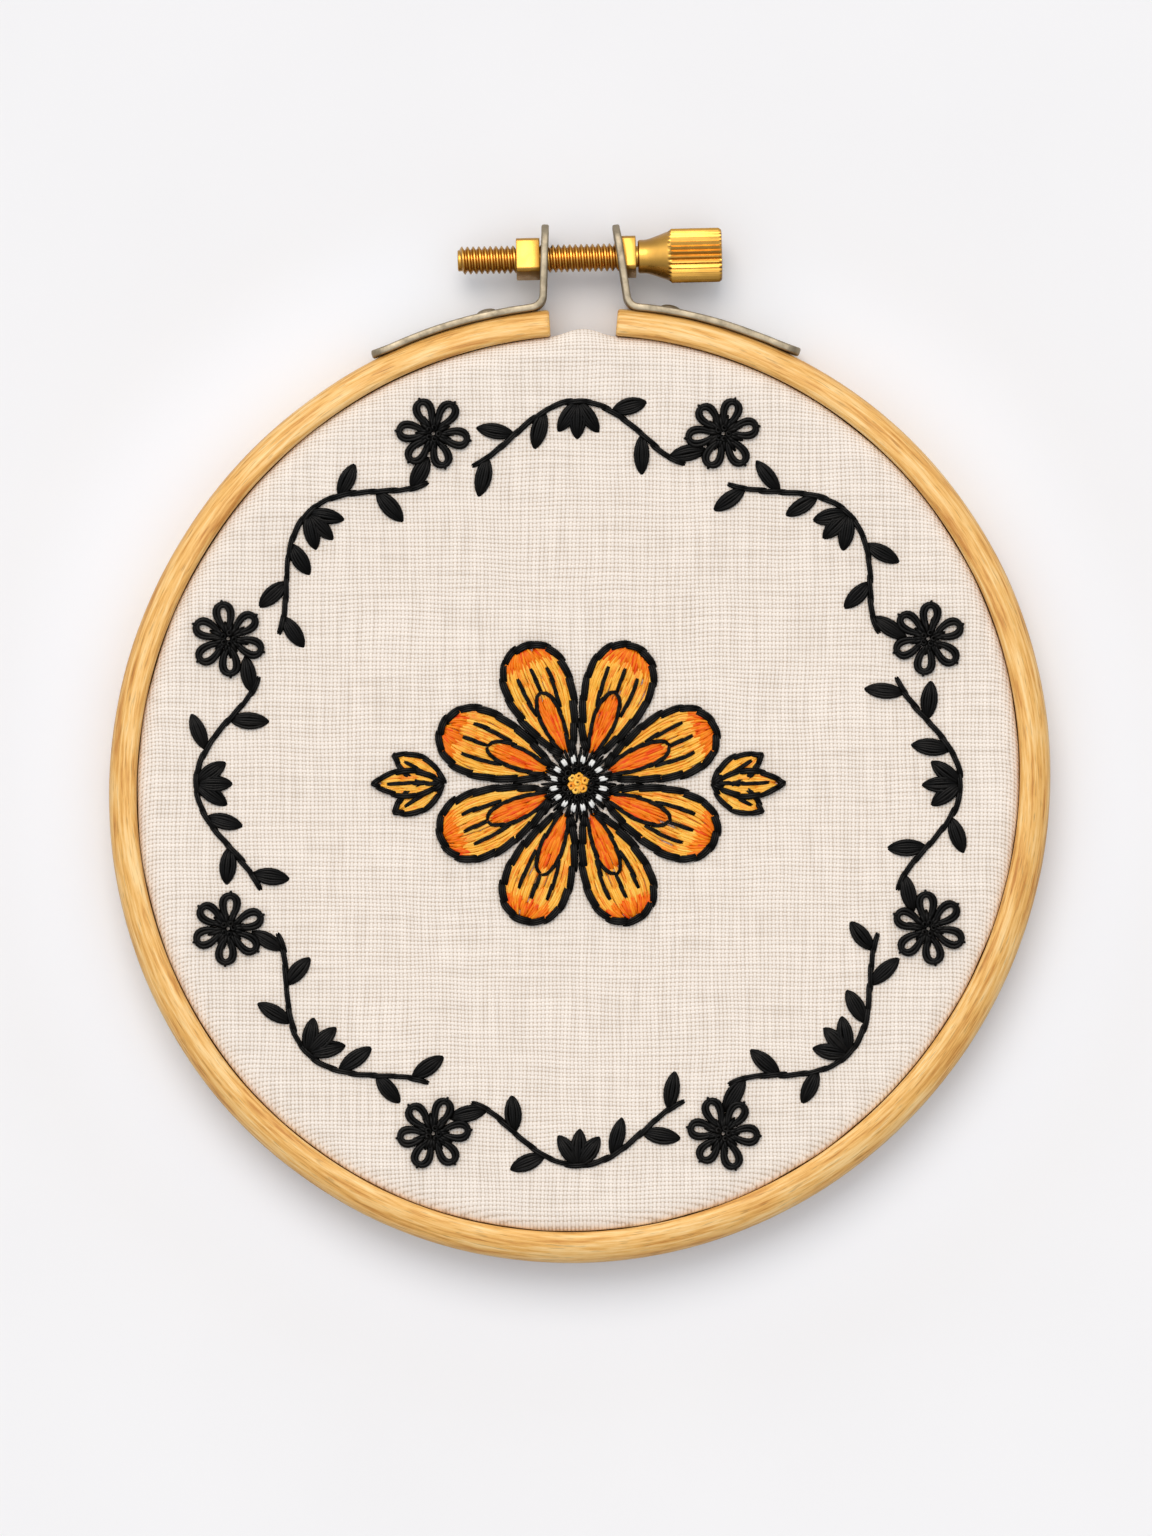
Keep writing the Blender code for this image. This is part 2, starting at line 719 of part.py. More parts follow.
def garland_mesh(cutters):
    """One piece of the vine, with leaves on alternate sides and a bud at each end."""
    shapes = [vine_stem(cutters)]
    for count, share in enumerate(VINE_LEAF_PLACES):
        base = vine_point(share)
        ahead = (vine_point(share + 0.02) - base).normalized() * math.copysign(1, share)
        side = 1 if (count % 2) == (share > 0) else -1
        run = Matrix.Rotation(side * VINE_LEAF_LEAN, 2) @ ahead
        root = base - run * LEAF_ROOT
        tip = base + run * VINE_LEAF_LENGTH
        shapes.append(pad_shape("vine_leaf", cutters, root, tip, VINE_LEAF_WIDTH, count % 2 + 1, True))
    crest = vine_point(0) + polar(LEAF_ROOT, 0)
    for turn in (-0.6, 0.0, 0.6):
        tip = crest - polar(VINE_LEAF_LENGTH, turn)
        step = 3 if turn else 4
        shapes.append(pad_shape("crest_leaf", cutters, crest, tip, VINE_LEAF_WIDTH, step, True))
    return fused("garland", shapes)


def placed(name, mesh, material, angle, radius, parts):
    """A copy of a motif, moved out along X and turned about the hoop's middle."""
    obj = bpy.data.objects.new(name, mesh)
    if not mesh.materials:
        mesh.materials.append(material)
    parts.objects.link(obj)
    turn = Matrix.Rotation(angle, 4, "Z")
    obj.matrix_world = Matrix.Translation((HOOP_X, HOOP_Y, 0)) @ turn @ Matrix.Translation((radius, 0, 0))
    return obj


def make_motifs(parts, cutters, amber, black):
    placed("flower_petals", flower_mesh(cutters), amber, 0.0, 0.0, parts)
    placed("flower_centre", flower_centre_mesh(), black, 0.0, 0.0, parts)
    leaves = side_leaves_mesh(cutters)
    placed("leaves_right", leaves, black, 0.0, 0.0, parts)
    placed("leaves_left", leaves, black, math.pi, 0.0, parts)
    blossom = blossom_mesh()
    garland = garland_mesh(cutters)
    for count in range(REPEATS):
        sector = 2 * math.pi / REPEATS
        placed(f"garland_{count + 1}", garland, black, sector * count, 0.0, parts)
        placed(f"blossom_{count + 1}", blossom, black, sector * (count + 0.5), BLOSSOM_PLACE, parts)


def build():
    clear_scene()
    parts = new_collection("hoop_embroidery")
    cutters = new_collection("cutters")
    cutters.hide_render = True
    wood = new_material("varnished_bamboo", (0.84, 0.49, 0.16), 0.42)
    linen = new_material("cream_cotton", (0.84, 0.76, 0.67), 0.92)
    steel = new_material("nickelled_steel", (0.38, 0.29, 0.20), 0.35, 1.0)
    brass = new_material("polished_brass", (0.53, 0.25, 0.04), 0.22, 1.0)
    amber = new_material("amber_floss", (0.92, 0.48, 0.06), 0.5)
    black = new_material("black_floss", (0.006, 0.006, 0.006), 0.45)
    make_outer_ring(parts, cutters, wood)
    make_inner_ring(parts, wood)
    make_cloth(parts, linen)
    left_ear = (LEFT_EAR_BASE_X, LEFT_EAR_TOP_X)
    right_ear = (RIGHT_EAR_BASE_X, RIGHT_EAR_TOP_X)
    make_bracket("bracket_left", left_ear, LEFT_LEG_END, -1, parts, cutters, steel)
    make_bracket("bracket_right", right_ear, RIGHT_LEG_END, 1, parts, cutters, steel)
    make_rivet("rivet_left", -1, parts, steel)
    make_rivet("rivet_right", 1, parts, steel)
    nut_start = LEFT_EAR_BASE_X - STRIP_THICKNESS / 2 - GAP - NUT_WIDTH
    make_block("screw_nut", nut_start, NUT_WIDTH, (0, 0), parts, cutters, brass)
    make_block("screw_collar", COLLAR_START_X, COLLAR_WIDTH, (COLLAR_SLANT, 0), parts, cutters, brass)
    make_thumbscrew(parts, brass)
    make_motifs(parts, cutters, amber, black)


build()
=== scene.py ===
"""Looks of an embroidered cotton cloth that is stretched in a wooden screw hoop.

Lengths are in metres and +Z is up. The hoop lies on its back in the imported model's frame, and each
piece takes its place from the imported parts, so nothing has to be fitted by hand.
"""

import json
import math
import random

import bmesh
import bpy
from mathutils import Matrix, Vector, kdtree, noise


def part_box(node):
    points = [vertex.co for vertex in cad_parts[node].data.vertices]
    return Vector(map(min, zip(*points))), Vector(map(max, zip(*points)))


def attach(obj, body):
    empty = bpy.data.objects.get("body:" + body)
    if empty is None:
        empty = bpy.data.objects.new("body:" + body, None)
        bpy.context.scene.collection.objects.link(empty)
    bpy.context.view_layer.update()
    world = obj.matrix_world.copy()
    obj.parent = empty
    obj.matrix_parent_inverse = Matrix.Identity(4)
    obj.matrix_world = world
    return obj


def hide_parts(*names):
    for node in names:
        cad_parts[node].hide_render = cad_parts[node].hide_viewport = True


bl_info = {
    "name": "Embroidery Hoop",
    "version": (1, 0, 0),
    "blender": (4, 5, 0),
    "location": "3D View > Sidebar > Embroidery Hoop",
    "description": "Builds a stitched cloth in its wooden hoop, piece by piece, with its finishes and light",
    "category": "Add Mesh",
}

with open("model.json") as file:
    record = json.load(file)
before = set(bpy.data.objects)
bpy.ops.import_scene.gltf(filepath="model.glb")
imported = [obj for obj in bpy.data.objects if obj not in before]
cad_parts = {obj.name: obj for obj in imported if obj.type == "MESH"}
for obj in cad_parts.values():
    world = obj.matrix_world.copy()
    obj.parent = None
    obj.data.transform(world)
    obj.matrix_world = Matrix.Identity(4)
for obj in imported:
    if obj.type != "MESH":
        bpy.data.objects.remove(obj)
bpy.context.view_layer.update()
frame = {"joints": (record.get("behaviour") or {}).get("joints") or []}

MM = 0.001

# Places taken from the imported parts. Radii are measured from the hoop's middle.
MIDDLE = sum(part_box("inner_ring"), Vector()) / 2
RING_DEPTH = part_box("outer_ring")[1].z
SCREW_LOW, SCREW_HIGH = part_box("thumbscrew")
SCREW_Z = (SCREW_LOW.z + SCREW_HIGH.z) / 2
EAR_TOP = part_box("bracket_left")[1].y - MIDDLE.y
SCREW_JOINT = next(joint for joint in frame["joints"] if joint["name"] == "thumbscrew_turn")
SCREW_DIRECTION = Vector(SCREW_JOINT["axis"]).normalized()
SCREW_POINT = Vector(SCREW_JOINT["pos_m"])

# The photograph's frame: its size, the scale at the cloth and where the hoop's middle lies in it.
IMAGE_SIZE = (1152, 1536)
PIXELS_PER_METRE = 8.63 / MM
HOOP_IN_PHOTO = (578.2, 783.5)
CAMERA_HEIGHT = 1.5
TOWARDS_LIGHT = Vector((-0.1, 0.49, 0.85)).normalized()
TOWARDS_SOFTBOX = Vector((-0.25, 0.38, 0.89)).normalized()
LAMP_STRENGTH = 1.1
LAMP_WIDTH = math.radians(36)
LAMP_COLOUR = "#FFF3E6"
SKY_COLOUR = "#F7FAFF"
BACKDROP_SEEN = "#EFEFF0"
CARD_MIRRORED = 0.75

# Wooden rings. They are a little oval, and the outer one's wall is thicker at the lower right.
RING_INNER_RADIUS = 51.6 * MM
RING_WALL = 3.4 * MM
WALL_SWELL = 0.3 * MM
THICK_SIDE_ANGLE = math.radians(305)
OUT_OF_ROUND = 0.68 * MM
LONG_AXIS_ANGLE = math.radians(63)
ROUND_CORE = 46.0 * MM
CROWN_OUTSIDE = 2.4 * MM
CROWN_INSIDE = 0.7 * MM
CROWN_UNDER_CLOTH = 1.5 * MM
FOOT_ROUND = 0.4 * MM
END_EASE = 0.35 * MM
SPLIT_LEFT_X = -3.4 * MM
SPLIT_RIGHT_X = 4.6 * MM
WOOD_WAVER = 0.05 * MM
RING_STEPS = 360

# Cloth: a flat field that sags a little, a rolled rim and a skirt pressed between the rings.
CLOTH_DROP = 0.4 * MM
CLOTH_TOP = RING_DEPTH - CLOTH_DROP
CLOTH_SAG = 0.12 * MM
CLOTH_EDGE_RADIUS = 51.5 * MM
CLOTH_ROLL = 1.15 * MM
CLOTH_ROLL_WIDTH = 2.6 * MM
CLOTH_HEM_Z = 0.6 * MM
CLOTH_RING_SPACING = 0.6 * MM
CLOTH_PUCKER = 0.05 * MM
CLOTH_PUCKERS = 19
CLOTH_RIPPLE = 0.05 * MM
RIPPLE_SIZE = 9 * MM
DIMPLE_RADIUS = 0.8 * MM
DIMPLE_DEPTH = 0.1 * MM
SPLIT_BULGE = 0.85 * MM

# Metal strips, pins and screw.
STRIP_THICKNESS = 0.85 * MM
STRIP_WIDTH = 7.0 * MM
STRIP_BEND = 1.5 * MM
STRIP_EASE = 0.24 * MM
EAR_CORNER = 2.6 * MM
LEG_CORNER = 1.6 * MM
EAR_X = {"left": (-4.1 * MM, -3.82 * MM), "right": (5.85 * MM, 4.35 * MM)}
LEG_END = {"left": math.radians(115.7), "right": math.radians(62.8)}
SEAT = 0.03 * MM
PIN_ANGLE = {"left": math.radians(101), "right": math.radians(79)}
PIN_RADIUS = 1.15 * MM
PIN_RISE = 0.45 * MM
THREAD_RADIUS = 1.62 * MM
THREAD_PITCH = 0.66 * MM
THREAD_DEPTH = 0.38 * MM
THREAD_TURN_STEPS = 24
THREAD_END_X = -14.0 * MM
HEAD_START_X = 6.95 * MM
FLARE_END_X = 10.6 * MM
HEAD_END_X = 16.7 * MM
NECK_RADIUS = 1.95 * MM
HEAD_RADIUS = 3.15 * MM
BLOCK_SIDE = 4.1 * MM
BLOCK_CHAMFER = 0.35 * MM
BLOCK_TURN = math.radians(-16)
NUT_X = (-7.2 * MM, -4.46 * MM)
COLLAR_X = (5.3 * MM, 6.72 * MM)
COLLAR_SLANT = 0.16

# Stitched motifs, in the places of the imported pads.
PETALS = 8
PETAL_START = 3.9 * MM
PETAL_LENGTH = 13.6 * MM
PETAL_WIDTH = 10.4 * MM
SIDE_LEAF_START = 15.6 * MM
SIDE_LEAF_LENGTH = 8.2 * MM
SIDE_LEAF_WIDTH = 3.4 * MM
SIDE_LEAF_SPREAD = math.radians(30)
REPEATS = 8
BLOSSOM_PLACE = 43.9 * MM
BLOSSOM_RADIUS = 4.4 * MM
BLOSSOM_LOOPS = 6
VINE_PLACE = 41.6 * MM
VINE_SWING = 2.7 * MM
VINE_HALF_SPAN = math.radians(18.5)
VINE_LEAF_LENGTH = 4.5 * MM
VINE_LEAF_WIDTH = 1.9 * MM
VINE_LEAF_LEAN = math.radians(48)
VINE_LEAF_PLACES = (-0.84, -0.56, -0.28, 0.28, 0.56, 0.84)
PLUNGE = 0.14 * MM
VEIN_STITCH = 1.7 * MM
WELD = 0.001 * MM
STRAND_TONE = "strand_tone"

# Where threads go down through the cloth, so that the cloth can be dimpled there.
NEEDLE_HOLES = []
MATERIALS = {}


def from_hex(code):
    """An sRGB colour such as "#E6B56C" as linear red, green, blue and alpha."""
    channels = [int(code[place : place + 2], 16) / 255 for place in (1, 3, 5)]
    linear = [c / 12.92 if c <= 0.04045 else ((c + 0.055) / 1.055) ** 2.4 for c in channels]
    return (*linear, 1.0)


def size_property(name, description, size):
    return bpy.props.FloatProperty(
        name=name,
        description=description,
        default=size,
        precision=5,
        unit="LENGTH",
        subtype="DISTANCE",
    )


class HoopSizes(bpy.types.PropertyGroup):
    """Sizes that change how the hoop, its cloth and its stitches look."""

    weave_across: size_property("Weave Across", "Distance between neighbouring warp threads", 0.445 * MM)
    weave_along: size_property("Weave Along", "Distance between neighbouring weft threads", 0.475 * MM)
    cloth_thickness: size_property("Cloth Thickness", "Thickness of the cotton", 0.45 * MM)
    strand: size_property("Floss Strand", "Width of one strand of floss on the cloth", 0.3 * MM)
    line_width: size_property("Outline", "Width of a line worked in black stem stitch", 0.92 * MM)
    grain: size_property("Bamboo Fibre", "Width of one streak of the bamboo's grain", 0.4 * MM)
    knurl_depth: size_property("Knurl Depth", "Depth of the grooves in the screw's head", 0.34 * MM)
    knurls: bpy.props.IntProperty(
        name="Knurls",
        description="Ridges round the screw's head",
        default=31,
        min=12,
    )


def colour_property(name, description, code):
    return bpy.props.FloatVectorProperty(
        name=name,
        description=description,
        default=from_hex(code),
        size=4,
        min=0.0,
        max=1.0,
        subtype="COLOR",
    )


class HoopColours(bpy.types.PropertyGroup):
    """Colours of the hoop's finishes."""

    bamboo: colour_property("Bamboo", "Main tone of the varnished bamboo", "#E8B15C")
    bamboo_pale: colour_property("Pale Grain", "Palest streaks of the bamboo", "#F6CF8D")
    bamboo_dark: colour_property("Dark Grain", "Darkest streaks of the bamboo", "#C28030")
    cotton: colour_property("Cotton", "Cream of the unbleached cotton", "#F3E9DE")
    cotton_gap_shade: colour_property("Cotton Gaps", "Shade between the cotton's threads", "#BBA58D")
    amber: colour_property("Amber Floss", "Main colour of the flower", "#F5B02F")
    orange: colour_property("Orange Floss", "Deep colour of the flower", "#EE7604")
    black: colour_property("Black Floss", "Outlines, leaves and blossoms", "#070605")
    white: colour_property("White Floss", "Short rays round the flower's middle", "#E4E4E0")
    brass: colour_property("Brass", "Screw, nut and collar", "#C9963F")
    nickel: colour_property("Nickelled Steel", "Bent strips and their pins", "#A3967F")
    backdrop: colour_property("Backdrop", "Pale floor", "#EDEDEE")
    # Painted light: a paler, cooler floor colour close round the hoop.
    backdrop_near_painted_light: colour_property("Backdrop Near", "Floor close round the hoop", "#F3F6FB")


class Nodes:
    """The nodes of one tree. Each method adds a node, and gives it or the output that later nodes take."""

    def __init__(self, tree):
        self.tree = tree

    def add(self, kind, inputs=None, **settings):
        """An input is a value, an output, or a node, whose first output is taken."""
        made = self.tree.nodes.new(kind)
        for name, value in settings.items():
            setattr(made, name, value)
        for key, value in (inputs or {}).items():
            if isinstance(value, bpy.types.Node):
                value = value.outputs[0]
            if isinstance(value, bpy.types.NodeSocket):
                self.tree.links.new(value, made.inputs[key])
            else:
                made.inputs[key].default_value = value
        return made

    def calc(self, operation, *values):
        return self.add("ShaderNodeMath", dict(enumerate(values)), operation=operation)

    def dot(self, direction, towards):
        both = {0: direction, 1: towards}
        return self.add("ShaderNodeVectorMath", both, operation="DOT_PRODUCT").outputs["Value"]

    def carry(self, value, source, target, curve="LINEAR"):
        """A value of the source's range carried to the target's range."""
        ends = zip(("From Min", "From Max", "To Min", "To Max"), (*source, *target))
        return self.add("ShaderNodeMapRange", {"Value": value, **dict(ends)}, interpolation_type=curve)

    def cloud(self, place, size, detail=2.0, roughness=0.5):
        """Noise whose grains have that size, which may differ along the three axes."""
        if isinstance(size, tuple):
            scale = tuple(1 / length for length in size)
            place = self.add("ShaderNodeMapping", {"Vector": place, "Scale": scale})
            size = 1.0
        inputs = {"Vector": place, "Scale": 1 / size, "Detail": detail, "Roughness": roughness}
        return self.add("ShaderNodeTexNoise", inputs)

    def ramp(self, value, stops):
        """The colour of a value between stops, which are pairs of place and colour."""
        made = self.add("ShaderNodeValToRGB", {0: value})
        elements = made.color_ramp.elements
        while len(elements) < len(stops):
            elements.new(0.5)
        for element, (place, colour) in zip(elements, stops):
            element.position = place
            element.color = colour
        return made

    def mix(self, share, first, second, blend="MIX"):
        """Two colours, mixed."""
        colours = {0: share, 6: first, 7: second}
        return self.add("ShaderNodeMix", colours, data_type="RGBA", blend_type=blend).outputs[2]

    def darken(self, colour, shade):
        return self.mix(1.0, colour, shade, "MULTIPLY")

    def blend(self, share, first, second):
        """Two numbers, mixed."""
        return self.add("ShaderNodeMix", {0: share, 2: first, 3: second}, data_type="FLOAT")


class Finish(Nodes):
    """A material whose shader has fixed values, and takes the rest from its nodes."""

    def __init__(self, name, **values):
        self.material = bpy.data.materials.new(name)
        self.material.use_nodes = True
        super().__init__(self.material.node_tree)
        self.shader = self.tree.nodes["Principled BSDF"]
        for key, value in values.items():
            self.shader.inputs[key.replace("_", " ")].default_value = value
        self.place = self.add("ShaderNodeTexCoord").outputs["Object"]

    def from_middle(self):
        """The place, counted from the hoop's middle."""
        return self.add("ShaderNodeMapping", {"Vector": self.place, "Location": (-MIDDLE.x, -MIDDLE.y, 0)})

    def join(self, colour, roughness=None, relief=None):
        """Joins the colour, the roughness, and the relief, which is a height, its strength and its depth."""
        self.tree.links.new(colour, self.shader.inputs["Base Color"])
        if roughness:
            self.tree.links.new(roughness.outputs[0], self.shader.inputs["Roughness"])
        if relief:
            inputs = dict(zip(("Height", "Strength", "Distance"), relief))
            bump = self.add("ShaderNodeBump", inputs)
            self.tree.links.new(bump.outputs[0], self.shader.inputs["Normal"])
        return self.material


def shaded(colour, share):
    """A colour made lighter or darker by a share of itself."""
    return (*[min(1.0, channel * share) for channel in colour[:3]], 1.0)


def varnished_bamboo(sizes, colours):
    """Bamboo, planed and thinly varnished, with long pale and brown fibres that follow the ring, and painted
    shade down its sides.
    """
    nodes = Finish("varnished_bamboo", Coat_Weight=0.18, Coat_Roughness=0.35)
    x, y, z = nodes.add("ShaderNodeSeparateXYZ", {0: nodes.from_middle()}).outputs
    turn = nodes.calc("ARCTAN2", x, nodes.calc("MULTIPLY", y, -1.0))
    flat = nodes.add("ShaderNodeCombineXYZ", {0: x, 1: y})
    radius = nodes.add("ShaderNodeVectorMath", {0: flat}, operation="LENGTH").outputs["Value"]
    along = nodes.calc("MULTIPLY", turn, RING_INNER_RADIUS)
    fibres = nodes.add("ShaderNodeCombineXYZ", {0: along, 1: radius, 2: z})
    fine = nodes.cloud(fibres, (6.5 * MM, sizes.grain, sizes.grain), 5.0, 0.65)
    broad = nodes.cloud(fibres, (13 * MM, 1.3 * MM, 1.3 * MM))
    flecks = nodes.cloud(fibres, (2.0 * MM, 0.18 * MM, 0.18 * MM), 1.0)
    tones = [(0.365, colours.bamboo_dark), (0.49, colours.bamboo), (0.62, colours.bamboo_pale)]
    grain = nodes.ramp(nodes.blend(0.3, fine, broad), tones)
    pores = nodes.carry(flecks, (0.6, 0.73), (1.0, 0.7))
    # Painted shade darkens the sides below the planed crown.
    side_shade = nodes.carry(z, (6.6 * MM, 8.2 * MM), (0.78, 1.0), "SMOOTHSTEP")
    gloss = nodes.carry(fine, (0.3, 0.7), (0.64, 0.5))
    return nodes.join(nodes.darken(nodes.darken(grain, pores), side_shade), gloss, (fine, 0.6, 0.05 * MM))


def plain_weave_cotton(sizes, colours):
    """Unbleached cotton in plain weave: warp and weft pass over and under each other, with uneven slubs. The
    colour between the threads is painted shade.
    """
    nodes = Finish("plain_weave_cotton", Roughness=0.92, Specular_IOR_Level=0.2)
    x, y, z = nodes.add("ShaderNodeSeparateXYZ", {0: nodes.place}).outputs
    # Down the rolled rim the weave goes on over the edge, so height counts as distance along it.
    over = nodes.calc("SUBTRACT", y, z)
    waver = nodes.cloud(nodes.place, 11 * MM, 1.0)
    drift = nodes.carry(waver, (0.0, 1.0), (-0.5 * MM, 0.5 * MM))

    def wave(distance, spacing):
        """Sine whose zeros lie at the threads' edges, drifting a little as hand-stretched cloth does."""
        moved = nodes.calc("ADD", distance, drift)
        return nodes.calc("SINE", nodes.calc("MULTIPLY", moved, math.pi / spacing))

    def thread(own, other, lift):
        """Height of one set of threads: round across, and passing over and under along its run."""
        crossing = nodes.calc("MULTIPLY", other, nodes.calc("SIGN", own))
        over_under = nodes.calc("MULTIPLY_ADD", crossing, 0.5 * lift, 0.5)
        return nodes.calc("MULTIPLY", nodes.calc("ABSOLUTE", own), over_under)

    across = wave(x, sizes.weave_across)
    along = wave(over, sizes.weave_along)
    height = nodes.calc("MAXIMUM", thread(across, along, 1.0), thread(along, across, -1.0))
    # Slubs are thicker and thinner stretches that run along single threads.
    warp_slubs = nodes.cloud(nodes.place, (0.5 * MM, 9 * MM, 9 * MM))
    weft_slubs = nodes.cloud(nodes.place, (9 * MM, 0.5 * MM, 0.5 * MM))
    uneven = nodes.calc("ADD", warp_slubs, weft_slubs)
    raised = nodes.calc("MULTIPLY", height, nodes.carry(uneven, (0.75, 1.25), (0.78, 1.18)))
    light = nodes.carry(raised, (0.04, 0.55), (0.0, 1.0))
    slub_light = nodes.carry(uneven, (0.7, 1.3), (0.93, 1.05))
    # Painted shade: the colour falls to the gap colour where the threads dip between each other.
    yarn = nodes.darken(nodes.mix(light, colours.cotton_gap_shade, colours.cotton), slub_light)
    return nodes.join(yarn, relief=(raised, 0.7, 0.09 * MM))


def stranded_cotton(name, colour, dark, pale, roughness, specular):
    """Mercerised cotton floss: fine glossy fibres, in strands that differ a little in tone along and beside
    each other. The tones are partly the floss's own and partly painted: deep flecks of painted shade between
    stitches, and pale painted highlights on strands. Dark and pale are the powers by which those tones are
    deeper or lighter than the colour."""
    nodes = Finish(name, Specular_IOR_Level=specular)
    patches = nodes.cloud(nodes.place, 0.8 * MM, roughness=0.6)
    strand = nodes.add("ShaderNodeAttribute", attribute_name=STRAND_TONE)
    deep, light = [(*[channel**power for channel in colour[:3]], 1.0) for power in (dark, pale)]
    tone = nodes.blend(0.5, patches, strand.outputs["Fac"])
    # The deep end stands partly for painted shade between stitches, and the pale end partly for painted
    # highlights.
    tone_shade_and_highlight = nodes.ramp(tone, [(0.26, deep), (0.42, colour), (0.58, colour), (0.76, light)])
    fibres = nodes.cloud(nodes.place, 0.11 * MM, 1.0)
    gloss = nodes.carry(fibres, (0.0, 1.0), (roughness - 0.08, roughness + 0.12))
    return nodes.join(tone_shade_and_highlight.outputs[0], gloss, (fibres, 0.5, 0.02 * MM))


def turned_brass(colours):
    """Brass turned from bar: faint rings round the screw's axis, and slightly dull patches from handling."""
    nodes = Finish("turned_brass", Metallic=1.0, Coat_Weight=0.3, Coat_Roughness=0.15)
    lines = nodes.cloud(nodes.place, (0.12 * MM, 9 * MM, 9 * MM), 1.0)
    dull = nodes.cloud(nodes.place, 1.8 * MM, 3.0)
    tones = nodes.ramp(dull, [(0.3, shaded(colours.brass, 0.82)), (0.6, colours.brass)])
    gloss = nodes.carry(dull, (0.3, 0.7), (0.34, 0.22))
    return nodes.join(tones.outputs[0], gloss, (lines, 0.35, 0.012 * MM))


def nickelled_steel(colours):
    """Rolled steel strip under thin nickel: dull grey, with warm worn patches and fine scratches."""
    nodes = Finish("nickelled_steel", Metallic=1.0)
    worn = nodes.cloud(nodes.place, 1.4 * MM, 4.0, 0.65)
    dark, pale = shaded(colours.nickel, 0.7), shaded(colours.nickel, 1.14)
    tones = nodes.ramp(worn, [(0.34, dark), (0.54, colours.nickel), (0.7, pale)])
    scratches = nodes.cloud(nodes.place, (4 * MM, 4 * MM, 0.15 * MM))
    gloss = nodes.carry(worn, (0.3, 0.7), (0.62, 0.46))
    return nodes.join(tones.outputs[0], gloss, (scratches, 0.5, 0.03 * MM))


def matt_card(colours):
    """Pale matt card for the floor, with a barely seen mottle. Close round the hoop it carries painted
    light: it is paler and cooler there, which lightens the shadows and offsets the warm light the wood
    throws on it."""
    nodes = Finish("matt_card", Roughness=0.95)
    mottle = nodes.cloud(nodes.place, 40 * MM, 3.0)
    pale, paler = shaded(colours.backdrop, 0.99), shaded(colours.backdrop, 1.01)
    tones = nodes.ramp(mottle, [(0.3, pale), (0.7, paler)])
    radius = nodes.add("ShaderNodeVectorMath", {0: nodes.from_middle()}, operation="LENGTH").outputs["Value"]
    near = nodes.carry(radius, (54 * MM, 74 * MM), (1.0, 0.0), "SMOOTHERSTEP")
    # Painted light: the card turns paler and cooler close round the hoop.
    lightened_near_hoop = nodes.mix(near, tones, colours.backdrop_near_painted_light)
    # Shiny pieces mirror the card dimmer than it is, which deepens the dark sides of the metals.
    mirrored = nodes.add("ShaderNodeLightPath").outputs["Is Glossy Ray"]
    return nodes.join(nodes.darken(lightened_near_hoop, nodes.carry(mirrored, (0.0, 1.0), (1.0, CARD_MIRRORED))))


def make_materials(context):
    """Makes every finish once and keeps it under a short name."""
    sizes = context.scene.hoop_sizes
    colours = context.scene.hoop_colours
    MATERIALS.update(
        bamboo=varnished_bamboo(sizes, colours),
        cotton=plain_weave_cotton(sizes, colours),
        amber=stranded_cotton("amber_stranded_cotton", colours.amber, 1.7, 0.72, 0.42, 0.5),
        orange=stranded_cotton("orange_stranded_cotton", colours.orange, 1.6, 0.72, 0.4, 0.22),
        black=stranded_cotton("black_stranded_cotton", colours.black, 1.2, 0.84, 0.26, 0.08),
        white=stranded_cotton("white_stranded_cotton", colours.white, 1.4, 0.8, 0.5, 0.4),
        brass=turned_brass(colours),
        nickel=nickelled_steel(colours),
        card=matt_card(colours),
    )


def out_of_round(angle):
    """How far every round outline stands out from a true circle at this angle."""
    return OUT_OF_ROUND * math.cos(2 * (angle - LONG_AXIS_ANGLE))


def wall(angle):
    """Thickness of the outer ring's wall at this angle."""
    return RING_WALL + WALL_SWELL * math.cos(angle - THICK_SIDE_ANGLE)


def outer_radius(angle):
    """The outer ring's outer radius at this angle."""
    return RING_INNER_RADIUS + wall(angle) + out_of_round(angle)


def polar(radius, angle):
    return Vector((radius * math.cos(angle), radius * math.sin(angle)))


def push_out(vert, amount):
    """Moves a point outwards from the hoop's middle line."""
    radius = math.hypot(vert.co.x, vert.co.y)
    vert.co.x *= (radius + amount) / radius
    vert.co.y *= (radius + amount) / radius


def make_oval(bm):
    """Gives a round shape the hoop's slightly oval outline."""
    for vert in bm.verts:
        radius = math.hypot(vert.co.x, vert.co.y)
        if radius > MM:
            angle = math.atan2(vert.co.y, vert.co.x)
            push_out(vert, out_of_round(angle) * min(1.0, radius / ROUND_CORE))


def at_hoop_middle(bm):
    bmesh.ops.translate(bm, verts=bm.verts, vec=(MIDDLE.x, MIDDLE.y, 0))


def tie(obj, body, nodes):
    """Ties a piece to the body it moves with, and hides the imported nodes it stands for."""
    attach(obj, body)
    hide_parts(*nodes)
    return obj


def object_from(bm, name, material, sharp=40, turned_out=True):
    """Makes a bmesh an object at the origin, smooth but for edges sharper than the angle."""
    if turned_out:
        bmesh.ops.recalc_face_normals(bm, faces=bm.faces)
    mesh = bpy.data.meshes.new(name)
    bm.to_mesh(mesh)
    bm.free()
    mesh.shade_smooth()
    mesh.set_sharp_from_angle(angle=math.radians(sharp))
    mesh.materials.append(material)
    obj = bpy.data.objects.new(name, mesh)
    bpy.context.scene.collection.objects.link(obj)
    return obj


